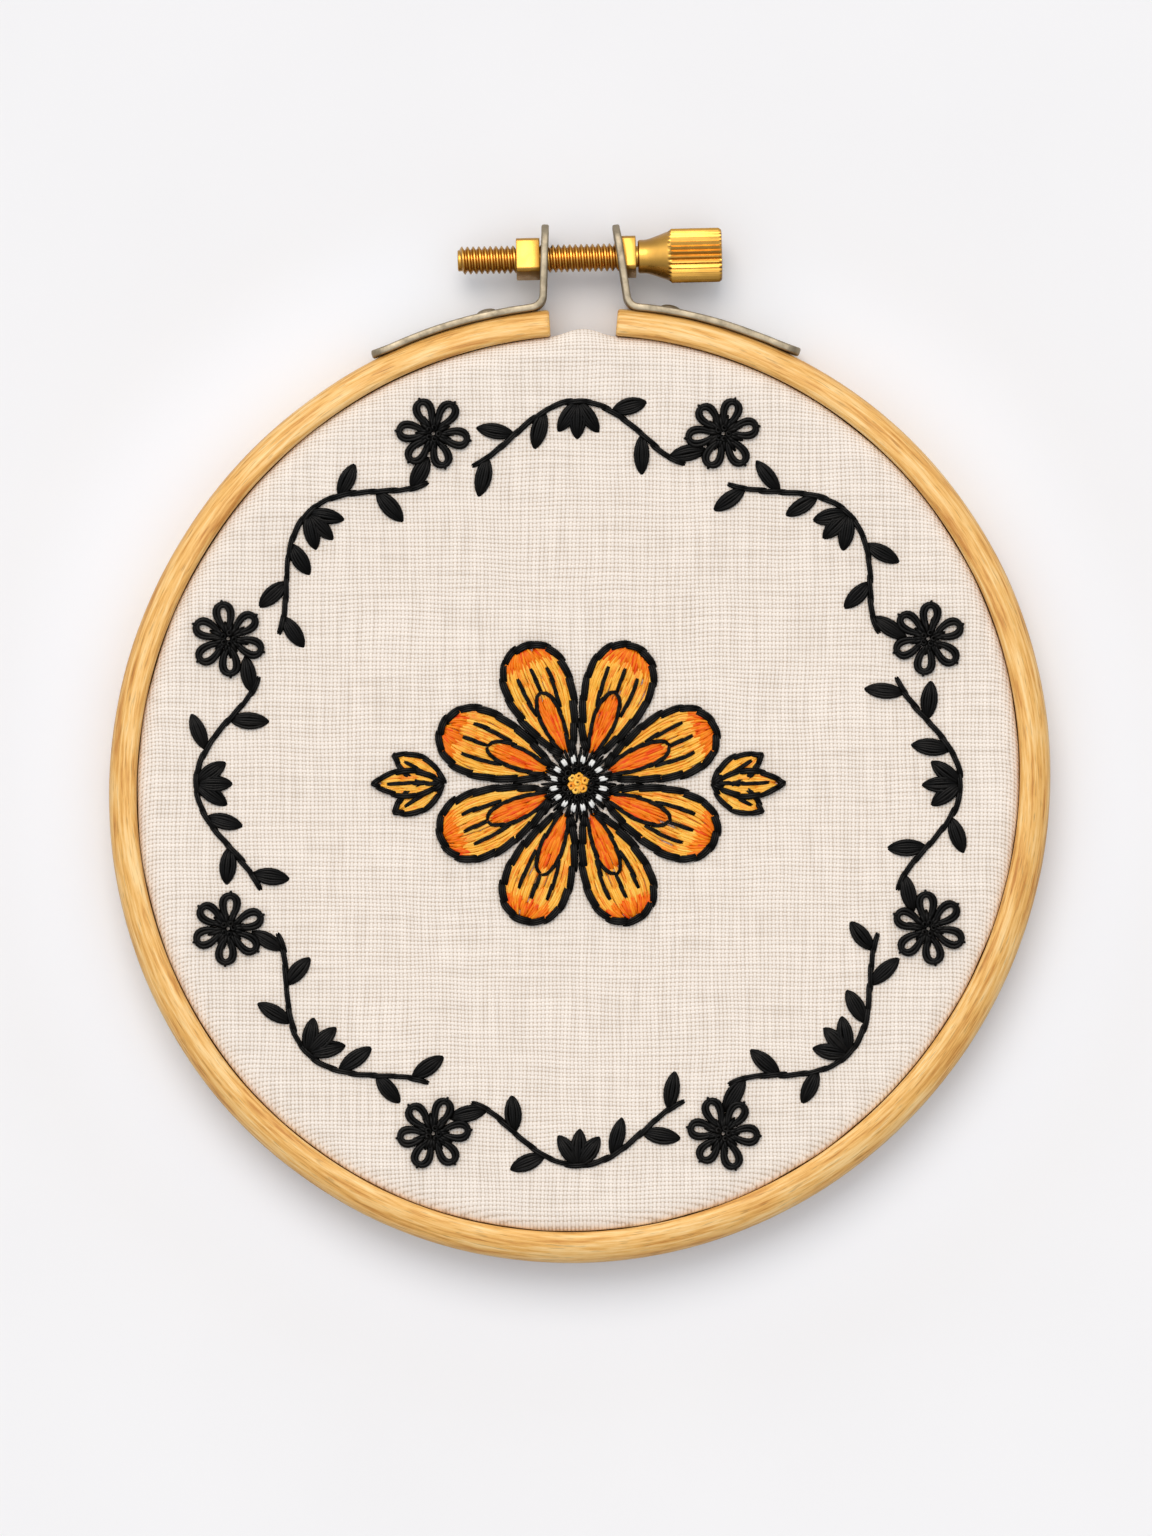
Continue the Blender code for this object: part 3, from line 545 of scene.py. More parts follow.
def worked_in(obj):
    """A bmesh of the object with its modifiers worked in. The object itself is removed."""
    graph = bpy.context.evaluated_depsgraph_get()
    mesh = bpy.data.meshes.new_from_object(obj.evaluated_get(graph))
    bm = bmesh.new()
    bm.from_mesh(mesh)
    bpy.data.meshes.remove(mesh)
    bpy.data.objects.remove(obj, do_unlink=True)
    return bm


def cut_away(obj, cutter):
    """A bmesh of the object with the cutter's shape taken out of it."""
    modifier = obj.modifiers.new("hole", "BOOLEAN")
    modifier.operation = "DIFFERENCE"
    modifier.object = cutter
    bm = worked_in(obj)
    bpy.data.objects.remove(cutter, do_unlink=True)
    bmesh.ops.remove_doubles(bm, verts=bm.verts, dist=WELD)
    return bm


def eased(bm, parts, offset, segments, affect="EDGES"):
    """Rounds chosen edges, or the corners of a flat outline."""
    bmesh.ops.bevel(
        bm,
        geom=parts,
        offset=offset,
        offset_type="OFFSET",
        segments=segments,
        profile=0.5,
        affect=affect,
        material=-1,
    )


def spun(bm, geometry, steps, angle=2 * math.pi, rise=0.0):
    """Turns geometry about Z. A full turn is closed, and a rise per step makes a helix."""
    full = angle == 2 * math.pi
    bmesh.ops.spin(
        bm,
        geom=geometry,
        cent=(0, 0, 0),
        axis=(0, 0, 1),
        dvec=(0, 0, rise),
        angle=angle,
        steps=steps,
        use_merge=full,
        use_duplicate=False,
    )
    bmesh.ops.remove_doubles(bm, verts=bm.verts, dist=WELD)


def turned(profile, steps):
    """A profile of radius and height spun about Z, with its ends on the axis."""
    bm = bmesh.new()
    verts = [bm.verts.new((radius, 0, height)) for radius, height in profile]
    for first, second in zip(verts, verts[1:]):
        bm.edges.new((first, second))
    spun(bm, bm.edges[:], steps)
    return bm


def ring_section(bm, inner, outer, top, crowns, start_angle):
    """A ring's section as one face, with an eased foot, and a top rounded outside and inside."""
    corners = [(inner, 0), (outer, 0), (outer, top), (inner, top)]
    verts = [bm.verts.new((radius, 0, height)) for radius, height in corners]
    bm.faces.new(verts)
    eased(bm, verts[:2], FOOT_ROUND, 3, "VERTICES")
    eased(bm, verts[2:3], crowns[0], 10, "VERTICES")
    eased(bm, verts[3:], crowns[1], 6, "VERTICES")
    turn = Matrix.Rotation(start_angle, 3, "Z")
    bmesh.ops.rotate(bm, verts=bm.verts, cent=(0, 0, 0), matrix=turn)


def waver_wood(bm, seed):
    """The small unevenness that planing and bending leave in a wooden ring."""
    for vert in bm.verts:
        spot = Vector((vert.co.x, vert.co.y, seed * MM)) / (11 * MM)
        push_out(vert, WOOD_WAVER * noise.noise(spot))
        vert.co.z *= 1 + 0.004 * noise.noise(spot * 1.7)


def make_outer_ring():
    """The split outer ring, with eased ends."""
    radius = outer_radius(math.pi / 2)
    start = math.acos(SPLIT_LEFT_X / radius)
    end = math.acos(SPLIT_RIGHT_X / radius) + 2 * math.pi
    bm = bmesh.new()
    crowns = (CROWN_OUTSIDE, CROWN_INSIDE)
    ring_section(bm, RING_INNER_RADIUS, RING_INNER_RADIUS + RING_WALL, RING_DEPTH, crowns, start)
    spun(bm, bm.faces[:], RING_STEPS, end - start)
    caps = [face for face in bm.faces if len(face.verts) > 4]
    eased(bm, [edge for face in caps for edge in face.edges], END_EASE, 3)
    for vert in bm.verts:
        angle = math.atan2(vert.co.y, vert.co.x)
        share = (math.hypot(vert.co.x, vert.co.y) - RING_INNER_RADIUS) / RING_WALL
        push_out(vert, share * (wall(angle) - RING_WALL))
    waver_wood(bm, 3)
    make_oval(bm)
    at_hoop_middle(bm)
    ring = object_from(bm, "wooden_outer_ring", MATERIALS["bamboo"])
    return tie(ring, "hoop", ["outer_ring"])


def make_inner_ring(cloth_thickness):
    """The closed ring under the cloth. It fills the cloth's roll but for the real cloth's thickness."""
    outer = CLOTH_EDGE_RADIUS - cloth_thickness - SEAT
    bm = bmesh.new()
    top = CLOTH_TOP - cloth_thickness - CLOTH_SAG
    ring_section(bm, ROUND_CORE, outer, top, (CROWN_UNDER_CLOTH, CROWN_UNDER_CLOTH), 0.0)
    bmesh.ops.delete(bm, geom=bm.faces[:], context="FACES_ONLY")
    spun(bm, bm.edges[:], RING_STEPS)
    waver_wood(bm, 17)
    make_oval(bm)
    at_hoop_middle(bm)
    ring = object_from(bm, "wooden_inner_ring", MATERIALS["bamboo"])
    return tie(ring, "hoop", ["inner_ring"])


def pucker(x, y):
    """How far the cloth stands above or below its even sag, from pulls at its rim and from ripples."""
    radius = math.hypot(x, y)
    angle = math.atan2(y, x)
    share = min(1.0, radius / CLOTH_EDGE_RADIUS)
    wave = math.sin(CLOTH_PUCKERS * angle) + 0.6 * math.sin(7 * angle + 1.3)
    fade = 1.0 - max(0.0, share - 0.93) / 0.07
    ripple = CLOTH_RIPPLE * noise.noise(Vector((x, y, 5 * MM)) / RIPPLE_SIZE)
    return (CLOTH_PUCKER * share**3 * wave + ripple) * fade


def cloth_height(x, y):
    """Height of the cloth's upper face at a point, given from the hoop's middle."""
    share = math.hypot(x, y) / CLOTH_EDGE_RADIUS
    return CLOTH_TOP - CLOTH_SAG * (1 - share**2) + pucker(x, y)


def cloth_profile():
    """The cloth's upper face as radius and height, from the middle over its roll and down to the hem."""
    field = CLOTH_EDGE_RADIUS - CLOTH_ROLL_WIDTH
    count = round(field / CLOTH_RING_SPACING)
    points = []
    for step in range(count + 1):
        radius = field * step / count
        points.append((radius, CLOTH_TOP - CLOTH_SAG * (1 - (radius / CLOTH_EDGE_RADIUS) ** 2)))
    edge_height = points[-1][1]
    for step in range(1, 11):
        turn = math.pi / 2 * step / 10
        radius = field + CLOTH_ROLL_WIDTH * math.sin(turn)
        points.append((radius, edge_height - CLOTH_ROLL * (1 - math.cos(turn))))
    skirt_top = points[-1][1]
    for step in range(1, 5):
        points.append((CLOTH_EDGE_RADIUS, skirt_top + (CLOTH_HEM_Z - skirt_top) * step / 4))
    return points


def bulge_at_split(bm):
    """Lets the rim of the cloth swell softly into the open split of the outer ring."""
    middle = (SPLIT_LEFT_X + SPLIT_RIGHT_X) / 2
    half = (SPLIT_RIGHT_X - SPLIT_LEFT_X) / 2
    for vert in bm.verts:
        share = math.hypot(vert.co.x, vert.co.y) / CLOTH_EDGE_RADIUS
        across = (vert.co.x - middle) / half
        if share > 0.9 and vert.co.y > 0 and abs(across) < 1:
            vert.co.y += SPLIT_BULGE * math.cos(across * math.pi / 2) ** 2 * min(1.0, (share - 0.9) / 0.08)


def dimple(bm):
    """Draws the cloth down where threads pass through it."""
    tree = kdtree.KDTree(len(NEEDLE_HOLES))
    for index, (x, y) in enumerate(NEEDLE_HOLES):
        tree.insert((x, y, 0), index)
    tree.balance()
    for vert in bm.verts:
        near = tree.find_range((vert.co.x, vert.co.y, 0), DIMPLE_RADIUS)
        if near and vert.co.z > CLOTH_TOP - MM:
            closest = min(distance for _, _, distance in near)
            vert.co.z -= DIMPLE_DEPTH * (1 - closest / DIMPLE_RADIUS) ** 2


def make_cloth(thickness):
    """One round of cotton, stretched over the inner ring, with its rim rolled down between the rings."""
    bm = turned(cloth_profile(), RING_STEPS)
    for vert in bm.verts:
        if math.hypot(vert.co.x, vert.co.y) < CLOTH_EDGE_RADIUS - 0.01 * MM:
            vert.co.z += pucker(vert.co.x, vert.co.y)
    dimple(bm)
    bulge_at_split(bm)
    make_oval(bm)
    for vert in bm.verts:
        angle = math.atan2(vert.co.y, vert.co.x)
        if math.hypot(vert.co.x, vert.co.y) > 0.98 * CLOTH_EDGE_RADIUS:
            push_out(vert, 0.09 * MM * noise.noise(Vector((9 * math.cos(angle), 9 * math.sin(angle), 4))))
    at_hoop_middle(bm)
    bmesh.ops.recalc_face_normals(bm, faces=bm.faces)
    if sum(face.normal.z * face.calc_area() for face in bm.faces) < 0:
        bmesh.ops.reverse_faces(bm, faces=bm.faces)
    cloth = object_from(bm, "cotton_cloth", MATERIALS["cotton"], sharp=80, turned_out=False)
    sheet = cloth.modifiers.new("thickness", "SOLIDIFY")
    sheet.thickness = thickness
    sheet.offset = -1.0
    tie(cloth, "hoop", ["cloth"])
    return cloth


def along_screw(x):
    """A place on the screw's axis, x from the hoop's middle, with local Z turned along the screw."""
    tilt = math.atan2(SCREW_DIRECTION.y, SCREW_DIRECTION.x)
    back = (SCREW_POINT.x - MIDDLE.x) / SCREW_DIRECTION.x
    place = Matrix.Translation(SCREW_POINT - back * SCREW_DIRECTION) @ Matrix.Rotation(tilt, 4, "Z")
    return place @ Matrix.Translation((x, 0, 0)) @ Matrix.Rotation(math.pi / 2, 4, "Y")


def screw_cutter(radius):
    """A round bar along the screw's axis, to bore holes with."""
    bm = bmesh.new()
    bmesh.ops.create_cone(
        bm,
        cap_ends=True,
        segments=64,
        radius1=radius,
        radius2=radius,
        depth=40 * MM,
        matrix=along_screw(0),
    )
    return object_from(bm, "cutter", MATERIALS["brass"])


def round_bend(before, corner, after, radius, steps):
    """Points of a round bend in place of the corner between two runs."""
    back = (before - corner).normalized()
    ahead = (after - corner).normalized()
    half = back.angle(ahead) / 2
    spoke = back * radius / math.tan(half) - (back + ahead).normalized() * radius / math.sin(half)
    centre = corner + (back + ahead).normalized() * radius / math.sin(half)
    sweep = math.copysign(math.pi - 2 * half, ahead.cross(back))
    return [centre + Matrix.Rotation(sweep * step / steps, 2) @ spoke for step in range(steps + 1)]


def strip_path(side):
    """The strip's middle line in plan, from its leg's end over the bend to its ear's top."""
    base_x, top_x = EAR_X[side]
    seat = SEAT + STRIP_THICKNESS / 2
    corner = Vector((base_x, math.sqrt((outer_radius(math.pi / 2) + seat) ** 2 - base_x**2)))
    top = Vector((top_x, EAR_TOP))
    bend_angle = math.atan2(corner.y, corner.x)
    steps = 28
    points = []
    for step in range(steps):
        angle = LEG_END[side] + (bend_angle - LEG_END[side]) * step / steps
        lift = 0.28 * MM * max(0.0, 1 - step / 4) ** 2
        points.append(polar(outer_radius(angle) + seat + lift, angle))
    points = [point for point in points if (point - corner).length > 1.2 * STRIP_BEND]
    return [*points, *round_bend(points[-1], corner, top, STRIP_BEND, 10), top]


def stations(path, ends):
    """Places along a path with their directions and their distances from its first and last point. Near each
    end they lie at the given distances."""
    marks = [0.0]
    for first, second in zip(path, path[1:]):
        marks.append(marks[-1] + (second - first).length)
    length = marks[-1]

    def walk(distance):
        for number, mark in enumerate(marks[1:]):
            if distance <= mark or mark == length:
                share = (distance - marks[number]) / (mark - marks[number])
                return path[number].lerp(path[number + 1], share)

    inner = [mark for mark in marks if max(ends) < mark < length - max(ends)]
    for distance in sorted([*ends, *inner, *(length - end for end in ends)]):
        step = 0.1 * MM
        run = walk(min(length, distance + step)) - walk(max(0.0, distance - step))
        yield walk(distance), run.normalized(), distance, length - distance


def rounded_end(half, corner, distance):
    """Half a width that runs in to a round end, at that distance from the end."""
    inside = max(0.0, corner - distance)
    return half - corner + math.sqrt(corner**2 - inside**2)


def strip_section(bm, place, run, half_thickness, half_width):
    """A section of a strip across its run, a rectangle with round corners. Its edges are returned."""
    across = Vector((-run.y, run.x))
    ease = 0.98 * min(STRIP_EASE, half_thickness)
    verts = []
    for number in range(16):
        turn = math.pi / 2 * (number // 4 + (number % 4) / 3)
        middle = math.pi / 2 * (number // 4 + 0.5)
        out = math.copysign(half_thickness - ease, math.cos(middle)) + ease * math.cos(turn)
        up = math.copysign(half_width - ease, math.sin(middle)) + ease * math.sin(turn)
        spot = place + across * out
        verts.append(bm.verts.new((spot.x, spot.y, SCREW_Z + up)))
    return [bm.edges.new((verts[number - 1], verts[number])) for number in range(16)]


def make_strip(side):
    """A bent strip of plated steel: a leg along the wood and an ear with a hole for the screw."""
    ends = [STRIP_EASE * share for share in (0.0, 0.06, 0.25, 0.55, 1.0)]
    ends += [LEG_CORNER * share for share in (0.25, 0.4, 0.6, 0.8, 1.0)]
    ends += [EAR_CORNER * share for share in (0.72, 0.86, 1.0)]
    bm = bmesh.new()
    sections = []
    for place, run, from_leg, from_ear in stations(strip_path(side), ends):
        thickness = rounded_end(STRIP_THICKNESS / 2, STRIP_EASE, min(from_leg, from_ear))
        width = min(
            rounded_end(STRIP_WIDTH / 2, LEG_CORNER, from_leg),
            rounded_end(STRIP_WIDTH / 2, EAR_CORNER, from_ear),
        )
        sections.append(strip_section(bm, place, run, thickness, width))
    for first, second in zip(sections, sections[1:]):
        bmesh.ops.bridge_loops(bm, edges=first + second)
    for section in (sections[0], sections[-1]):
        bmesh.ops.contextual_create(bm, geom=section)
    at_hoop_middle(bm)
    strip = object_from(bm, "strip", MATERIALS["nickel"])
    bm = cut_away(strip, screw_cutter(THREAD_RADIUS + 0.3 * MM))
    for vert in bm.verts:
        vert.co += Vector((1, 1, 0)) * 0.05 * MM * noise.noise(vert.co / (2.2 * MM))
    piece = object_from(bm, f"steel_strip_{side}", MATERIALS["nickel"], sharp=50)
    return tie(piece, "hoop", [f"bracket_{side}"])


def make_pin(side):
    """The low domed head of the pin that holds a strip to the wood, with the pin behind it."""
    angle = PIN_ANGLE[side]
    seat = SEAT + STRIP_THICKNESS - 0.05 * MM
    profile = [(0, -3 * MM), (0.55 * MM, -3 * MM), (0.55 * MM, seat), (PIN_RADIUS, seat)]
    for step in range(1, 9):
        turn = math.pi / 2 * step / 8
        profile.append((PIN_RADIUS * math.cos(turn), seat + PIN_RISE * math.sin(turn)))
    bm = turned(profile, 32)
    middle = MIDDLE.xy + polar(outer_radius(angle), angle)
    turn = Matrix.Rotation(angle, 4, "Z") @ Matrix.Rotation(math.pi / 2, 4, "Y")
    place = Matrix.Translation((middle.x, middle.y, SCREW_Z)) @ turn
    bmesh.ops.transform(bm, matrix=place, verts=bm.verts)
    pin = object_from(bm, f"steel_pin_{side}", MATERIALS["nickel"])
    return tie(pin, "hoop", [f"rivet_{side}"])


def make_block(name, ends, slant, node):
    """A square block of brass with its corners cut off and its edges eased, bored for the screw. Its left
    face may slant along an ear."""
    width = ends[1] - ends[0]
    bm = bmesh.new()
    bmesh.ops.create_cube(bm, size=1.0)
    bmesh.ops.scale(bm, verts=bm.verts, vec=(BLOCK_SIDE, BLOCK_SIDE, width))
    corners = [edge for edge in bm.edges if abs(edge.verts[0].co.z - edge.verts[1].co.z) > width / 2]
    eased(bm, corners, BLOCK_CHAMFER, 1)
    bmesh.ops.rotate(bm, verts=bm.verts, cent=(0, 0, 0), matrix=Matrix.Rotation(BLOCK_TURN, 3, "Z"))
    for vert in bm.verts:
        if vert.co.z < 0:
            vert.co.z -= vert.co.y * slant
    place = along_screw(sum(ends) / 2)
    bmesh.ops.transform(bm, matrix=place, verts=bm.verts)
    block = object_from(bm, "block", MATERIALS["brass"])
    bm = cut_away(block, screw_cutter(THREAD_RADIUS + 0.02 * MM))
    sharp = [edge for edge in bm.edges if edge.is_manifold and edge.calc_face_angle() > math.radians(30)]
    eased(bm, sharp, 0.12 * MM, 2)
    piece = object_from(bm, name, MATERIALS["brass"], sharp=30)
    return tie(piece, "hoop", [node])


def make_thumbscrew(knurls, knurl_depth):
    """The screw: a rod with its thread as a helix, a flared neck and a head with fine straight ridges."""
    ease = 0.35 * MM
    root = THREAD_RADIUS - THREAD_DEPTH
    flare = FLARE_END_X - HEAD_START_X
    profile = [
        (0, THREAD_END_X),
        (root - 0.1 * MM, THREAD_END_X),
        (root, THREAD_END_X + 0.1 * MM),
        (root, HEAD_START_X),
        (NECK_RADIUS - 0.15 * MM, HEAD_START_X),
        (NECK_RADIUS, HEAD_START_X + 0.15 * MM),
    ]
    for step in range(15):
        share = step / 14
        smooth = share**1.6 * (1.6 - 0.6 * share)
        height = HEAD_START_X + flare * (0.2 + 0.78 * share)
        profile.append((NECK_RADIUS + (HEAD_RADIUS - 0.28 * MM - NECK_RADIUS) * smooth, height))
    profile += [
        (HEAD_RADIUS, FLARE_END_X + 0.25 * MM),
        (HEAD_RADIUS, HEAD_END_X - ease),
        (HEAD_RADIUS - 0.6 * ease, HEAD_END_X - 0.2 * ease),
        (HEAD_RADIUS - 1.2 * ease, HEAD_END_X),
        (0, HEAD_END_X),
    ]
    bm = turned(profile, 6 * knurls)
    for vert in bm.verts:
        radius = math.hypot(vert.co.x, vert.co.y)
        if radius > HEAD_RADIUS - 0.01 * MM:
            groove = 0.5 - 0.5 * math.cos(knurls * math.atan2(vert.co.y, vert.co.x))
            push_out(vert, -knurl_depth * groove)
    helix = bmesh.new()
    half = THREAD_PITCH / 2
    start = THREAD_END_X + half
    sunk = root - 0.03 * MM
    flank, crest = 0.94 * half, 0.2 * half
    section = [(sunk, -flank), (THREAD_RADIUS, -crest), (THREAD_RADIUS, crest), (sunk, flank)]
    helix.faces.new([helix.verts.new((radius, 0, start + height)) for radius, height in section])
    turns = int((HEAD_START_X - half - start) / THREAD_PITCH)
    rise = THREAD_PITCH / THREAD_TURN_STEPS
    spun(helix, helix.faces[:], turns * THREAD_TURN_STEPS, turns * 2 * math.pi, rise)
    bmesh.ops.recalc_face_normals(helix, faces=helix.faces)
    bmesh.ops.recalc_face_normals(bm, faces=bm.faces)
    thread = bpy.data.meshes.new("thread")
    helix.to_mesh(thread)
    helix.free()
    bm.from_mesh(thread)
    bpy.data.meshes.remove(thread)
    bmesh.ops.transform(bm, matrix=along_screw(0), verts=bm.verts)
    screw = object_from(bm, "brass_thumbscrew", MATERIALS["brass"], sharp=32, turned_out=False)
    return tie(screw, "thumbscrew", ["thumbscrew"])


class Floss:
    """Strands of one colour, laid one by one and then made a single mesh of thin round threads."""

    def __init__(self, name, seed):
        self.name = name
        self.chance = random.Random(seed)
        self.curve = bpy.data.curves.new(name, "CURVE")
        self.curve.dimensions = "3D"
        self.curve.bevel_depth = MM
        self.curve.bevel_resolution = 1
        self.curve.use_fill_caps = True

    def jitter(self, amount):
        return self.chance.uniform(-amount, amount)

    def lay(self, path, radius, lift, steps=5, low=0.0, high=1.0, plunge=True):
        """Lays a strand along path, which gives a point for a share from 0 to 1. It lies lift above the
        cloth, comes up through it at one end, and goes down at the other. Without plunge its ends only dip,
        where it is worked through stitches that lie under it."""
        spline = self.curve.splines.new("POLY")
        spline.points.add(steps)
        for step, point in enumerate(spline.points):
            share = step / steps
            place = path(low + (high - low) * share)
            arch = math.sin(math.pi * share) ** 0.4
            end = -PLUNGE if plunge else 0.7 * lift
            height = cloth_height(place.x, place.y) + lift * arch + end * (1 - arch)
            point.co = (place.x, place.y, height, 1)
            point.radius = radius * (0.72 + 0.28 * arch) / MM
        if plunge:
            NEEDLE_HOLES.extend((path(end).x, path(end).y) for end in (low, high))

    def knot(self, middle, size, radius, lift):
        """A French knot: one and a half turns of thread, drawn down in its own middle."""
        begin = self.jitter(math.pi)
        steps = 15
        spline = self.curve.splines.new("POLY")
        spline.points.add(steps)
        floor = cloth_height(middle.x, middle.y) + lift
        for step, point in enumerate(spline.points):
            share = step / steps
            place = middle + polar(size * (1 - 0.75 * max(0.0, share - 0.6) / 0.4), begin + 9.5 * share)
            point.co = (place.x, place.y, floor + radius * (0.3 + 1.7 * share), 1)
            point.radius = radius / MM

    def give_tones(self, bm):
        """Gives every strand a tone of its own, as a number from 0 to 1 on its points."""
        layer = bm.verts.layers.float.new(STRAND_TONE)
        done = set()
        for first in bm.verts:
            if first in done:
                continue
            tone = self.chance.random()
            waiting = [first]
            done.add(first)
            while waiting:
                vert = waiting.pop()
                vert[layer] = tone
                for edge in vert.link_edges:
                    other = edge.other_vert(vert)
                    if other not in done:
                        done.add(other)
                        waiting.append(other)

    def finish(self, material, nodes):
        """Makes the strands one mesh, turned about the hoop's middle, and ties it to its nodes."""
        line = bpy.data.objects.new(self.name, self.curve)
        bpy.context.scene.collection.objects.link(line)
        bpy.context.view_layer.update()
        bm = worked_in(line)
        bpy.data.curves.remove(self.curve)
        bmesh.ops.remove_doubles(bm, verts=bm.verts, dist=WELD / 2)
        self.give_tones(bm)
        at_hoop_middle(bm)
        piece = object_from(bm, self.name, MATERIALS[material], sharp=70)
        return tie(piece, "hoop", nodes)


class Outline:
    """A petal or leaf in plan. A point on it is given by its share of the length and of the half width."""

    def __init__(self, base, tip, width, pointed):
        self.base = Vector(base)
        self.run = Vector(tip) - self.base
        self.across = Vector((-self.run.y, self.run.x)).normalized() * width / 2
        self.pointed = pointed

    def half_width(self, along):
        bulge = max(0.0, 4 * along * (1 - along))
        return bulge if self.pointed else math.sqrt(bulge) * (0.42 + 0.62 * along)

    def at(self, along, side):
        return self.base + self.run * along + self.across * side * self.half_width(along)

    def edge(self, share):
        """A point of the border, which runs from the base over the tip and back to the base."""
        along = (1 - math.cos(2 * math.pi * share)) / 2
        return self.at(along, 1 if share < 0.5 else -1)


def beside(path, share, offset):
    """The point that lies offset to the left of a path."""
    step = path(share + 0.004) - path(share - 0.004)
    return path(share) + Vector((-step.y, step.x)).normalized() * offset


def path_length(path, low, high, steps=24):
    points = [path(low + (high - low) * step / steps) for step in range(steps + 1)]
    return sum((second - first).length for first, second in zip(points, points[1:]))


def stem_stitch(floss, path, width, lift, low=0.0, high=1.0, stitch=2.1 * MM, strands=3, plunge=True):
    """A line of slanting stitches, each starting beside the middle of the one before."""
    count = max(1, round(path_length(path, low, high) / stitch))
    size = (high - low) / count
    for number in range(count):
        begin = low + (number - 0.2) * size if number else low
        end = low + (number + 1.2) * size if number < count - 1 else high
        bend = floss.jitter(0.06 * MM)
        radius = floss.chance.uniform(0.58, 0.74) * width / strands
        for strand in range(strands):
            side = ((strand + 0.5) / strands - 0.5) * width * 0.8

            def slanted(share, side=side, begin=begin, end=end, bend=bend):
                lean = (share - begin) / (end - begin) - 0.5
                return beside(path, share, side + bend + 0.3 * width * lean)

            floss.lay(slanted, radius, lift + floss.jitter(0.03 * MM), 5, begin, end, plunge)


def vein(floss, path, line_width, lift, low, high):
    """A thin line of two strands, worked over the filling."""
    stem_stitch(floss, path, 0.5 * line_width, lift, low, high, VEIN_STITCH, 2, False)


def long_and_short(floss, shape, rows, strand, lift, keep=None, edge=0.93):
    """Rows of lengthwise stitches of uneven length, side by side, that fill a shape."""
    for first, last in rows:
        widest = max(shape.half_width(first), shape.half_width((first + last) / 2), shape.half_width(last))
        half = shape.across.length * widest * edge
        count = max(2, round(2 * half / (0.66 * strand)))
        for number in range(count + 1):
            side = (2 * number / count - 1) * edge + floss.jitter(0.03)
            low = first + floss.jitter(0.05)
            high = last + floss.jitter(0.06)
            if keep and not keep((low + high) / 2, side):
                continue
            low, high = max(0.015, low), min(0.985, high)
            sway = floss.jitter(0.035)
            crown = 1 - 0.35 * side * side
            height = lift * crown + floss.jitter(0.025 * MM)
            floss.lay(
                lambda share, side=side, sway=sway: shape.at(share, side + sway * math.sin(3 * share)),
                strand * floss.chance.uniform(0.46, 0.6),
                height,
                5,
                low,
                high,
            )


def satin_leaf(floss, base, tip, width, lift, strands=6, thick=0.24 * MM):
    """A small leaf of lengthwise satin stitches that lie close and meet at both ends."""
    shape = Outline(base, tip, width - thick, True)
    order = sorted(range(strands), key=lambda number: -abs(number - (strands - 1) / 2))
    for rank, number in enumerate(order):
        side = 2 * (number + 0.5) / strands - 1
        sway = floss.jitter(0.1)
        floss.lay(
            lambda share, side=side, sway=sway: shape.at(share, 1.08 * side + sway),
            thick * floss.chance.uniform(0.9, 1.1),
            lift + 0.05 * MM * rank / strands + floss.jitter(0.02 * MM),
            6,
            0.01 + abs(floss.jitter(0.03)),
            0.99 - abs(floss.jitter(0.03)),
        )


def petal_shape(count):
    angle = 2 * math.pi * (count + 0.5) / PETALS
    start = polar(PETAL_START - 0.3 * MM, angle)
    return Outline(start, polar(PETAL_START + PETAL_LENGTH - 0.4 * MM, angle), PETAL_WIDTH - 0.9 * MM, False)


def in_heart(along, side):
    """Whether a point of a petal lies in its orange heart."""
    return along < 0.56 and abs(side) < 0.5 * math.sqrt(max(0.0, 1 - (along / 0.56) ** 2)) + 0.04


def heart_edge(shape, side):
    """The curved line round one side of a petal's heart, from its base to its point."""

    def path(share):
        along = 0.56 * min(1.0, max(0.0, share))
        return shape.at(along + 0.02, side * 0.54 * math.sqrt(max(0.0, 1 - (along / 0.56) ** 2)))

    return path


def make_petals(sizes):
    """The large flower's eight petals: amber fillings, orange hearts and tips, black veins and edges."""
    amber = Floss("petals_amber", 11)
    orange = Floss("petals_orange", 12)
    black = Floss("petals_black", 13)
    strand = sizes.strand
    width = sizes.line_width
    rows = [(0.05, 0.28), (0.2, 0.44), (0.34, 0.6), (0.5, 0.74), (0.64, 0.9)]
    heart_rows = [(0.04, 0.26), (0.18, 0.44), (0.34, 0.56)]
    for count in range(PETALS):
        shape = petal_shape(count)
        long_and_short(amber, shape, rows, strand, 0.3 * MM, lambda along, side: not in_heart(along, side))
        long_and_short(orange, shape, heart_rows, strand, 0.33 * MM, in_heart)
        long_and_short(orange, shape, [(0.8, 0.975)], strand, 0.36 * MM)
        for side in (-1, 1):
            vein(black, heart_edge(shape, side), width, 0.5 * MM, 0.05, 1.0)
        for side, first, last in ((0.0, 0.58, 0.8), (-0.5, 0.4, 0.76), (0.5, 0.4, 0.76)):

            def ray(share, shape=shape, side=side):
                return shape.at(share, side * (0.85 + 0.2 * share))

            vein(black, ray, width, 0.5 * MM, first, last)
        stem_stitch(black, shape.edge, width, 0.4 * MM, 0.035, 0.965)
    nodes = ["flower_petals"]
    amber.finish("amber", nodes)
    orange.finish("orange", nodes)
    black.finish("black", nodes)


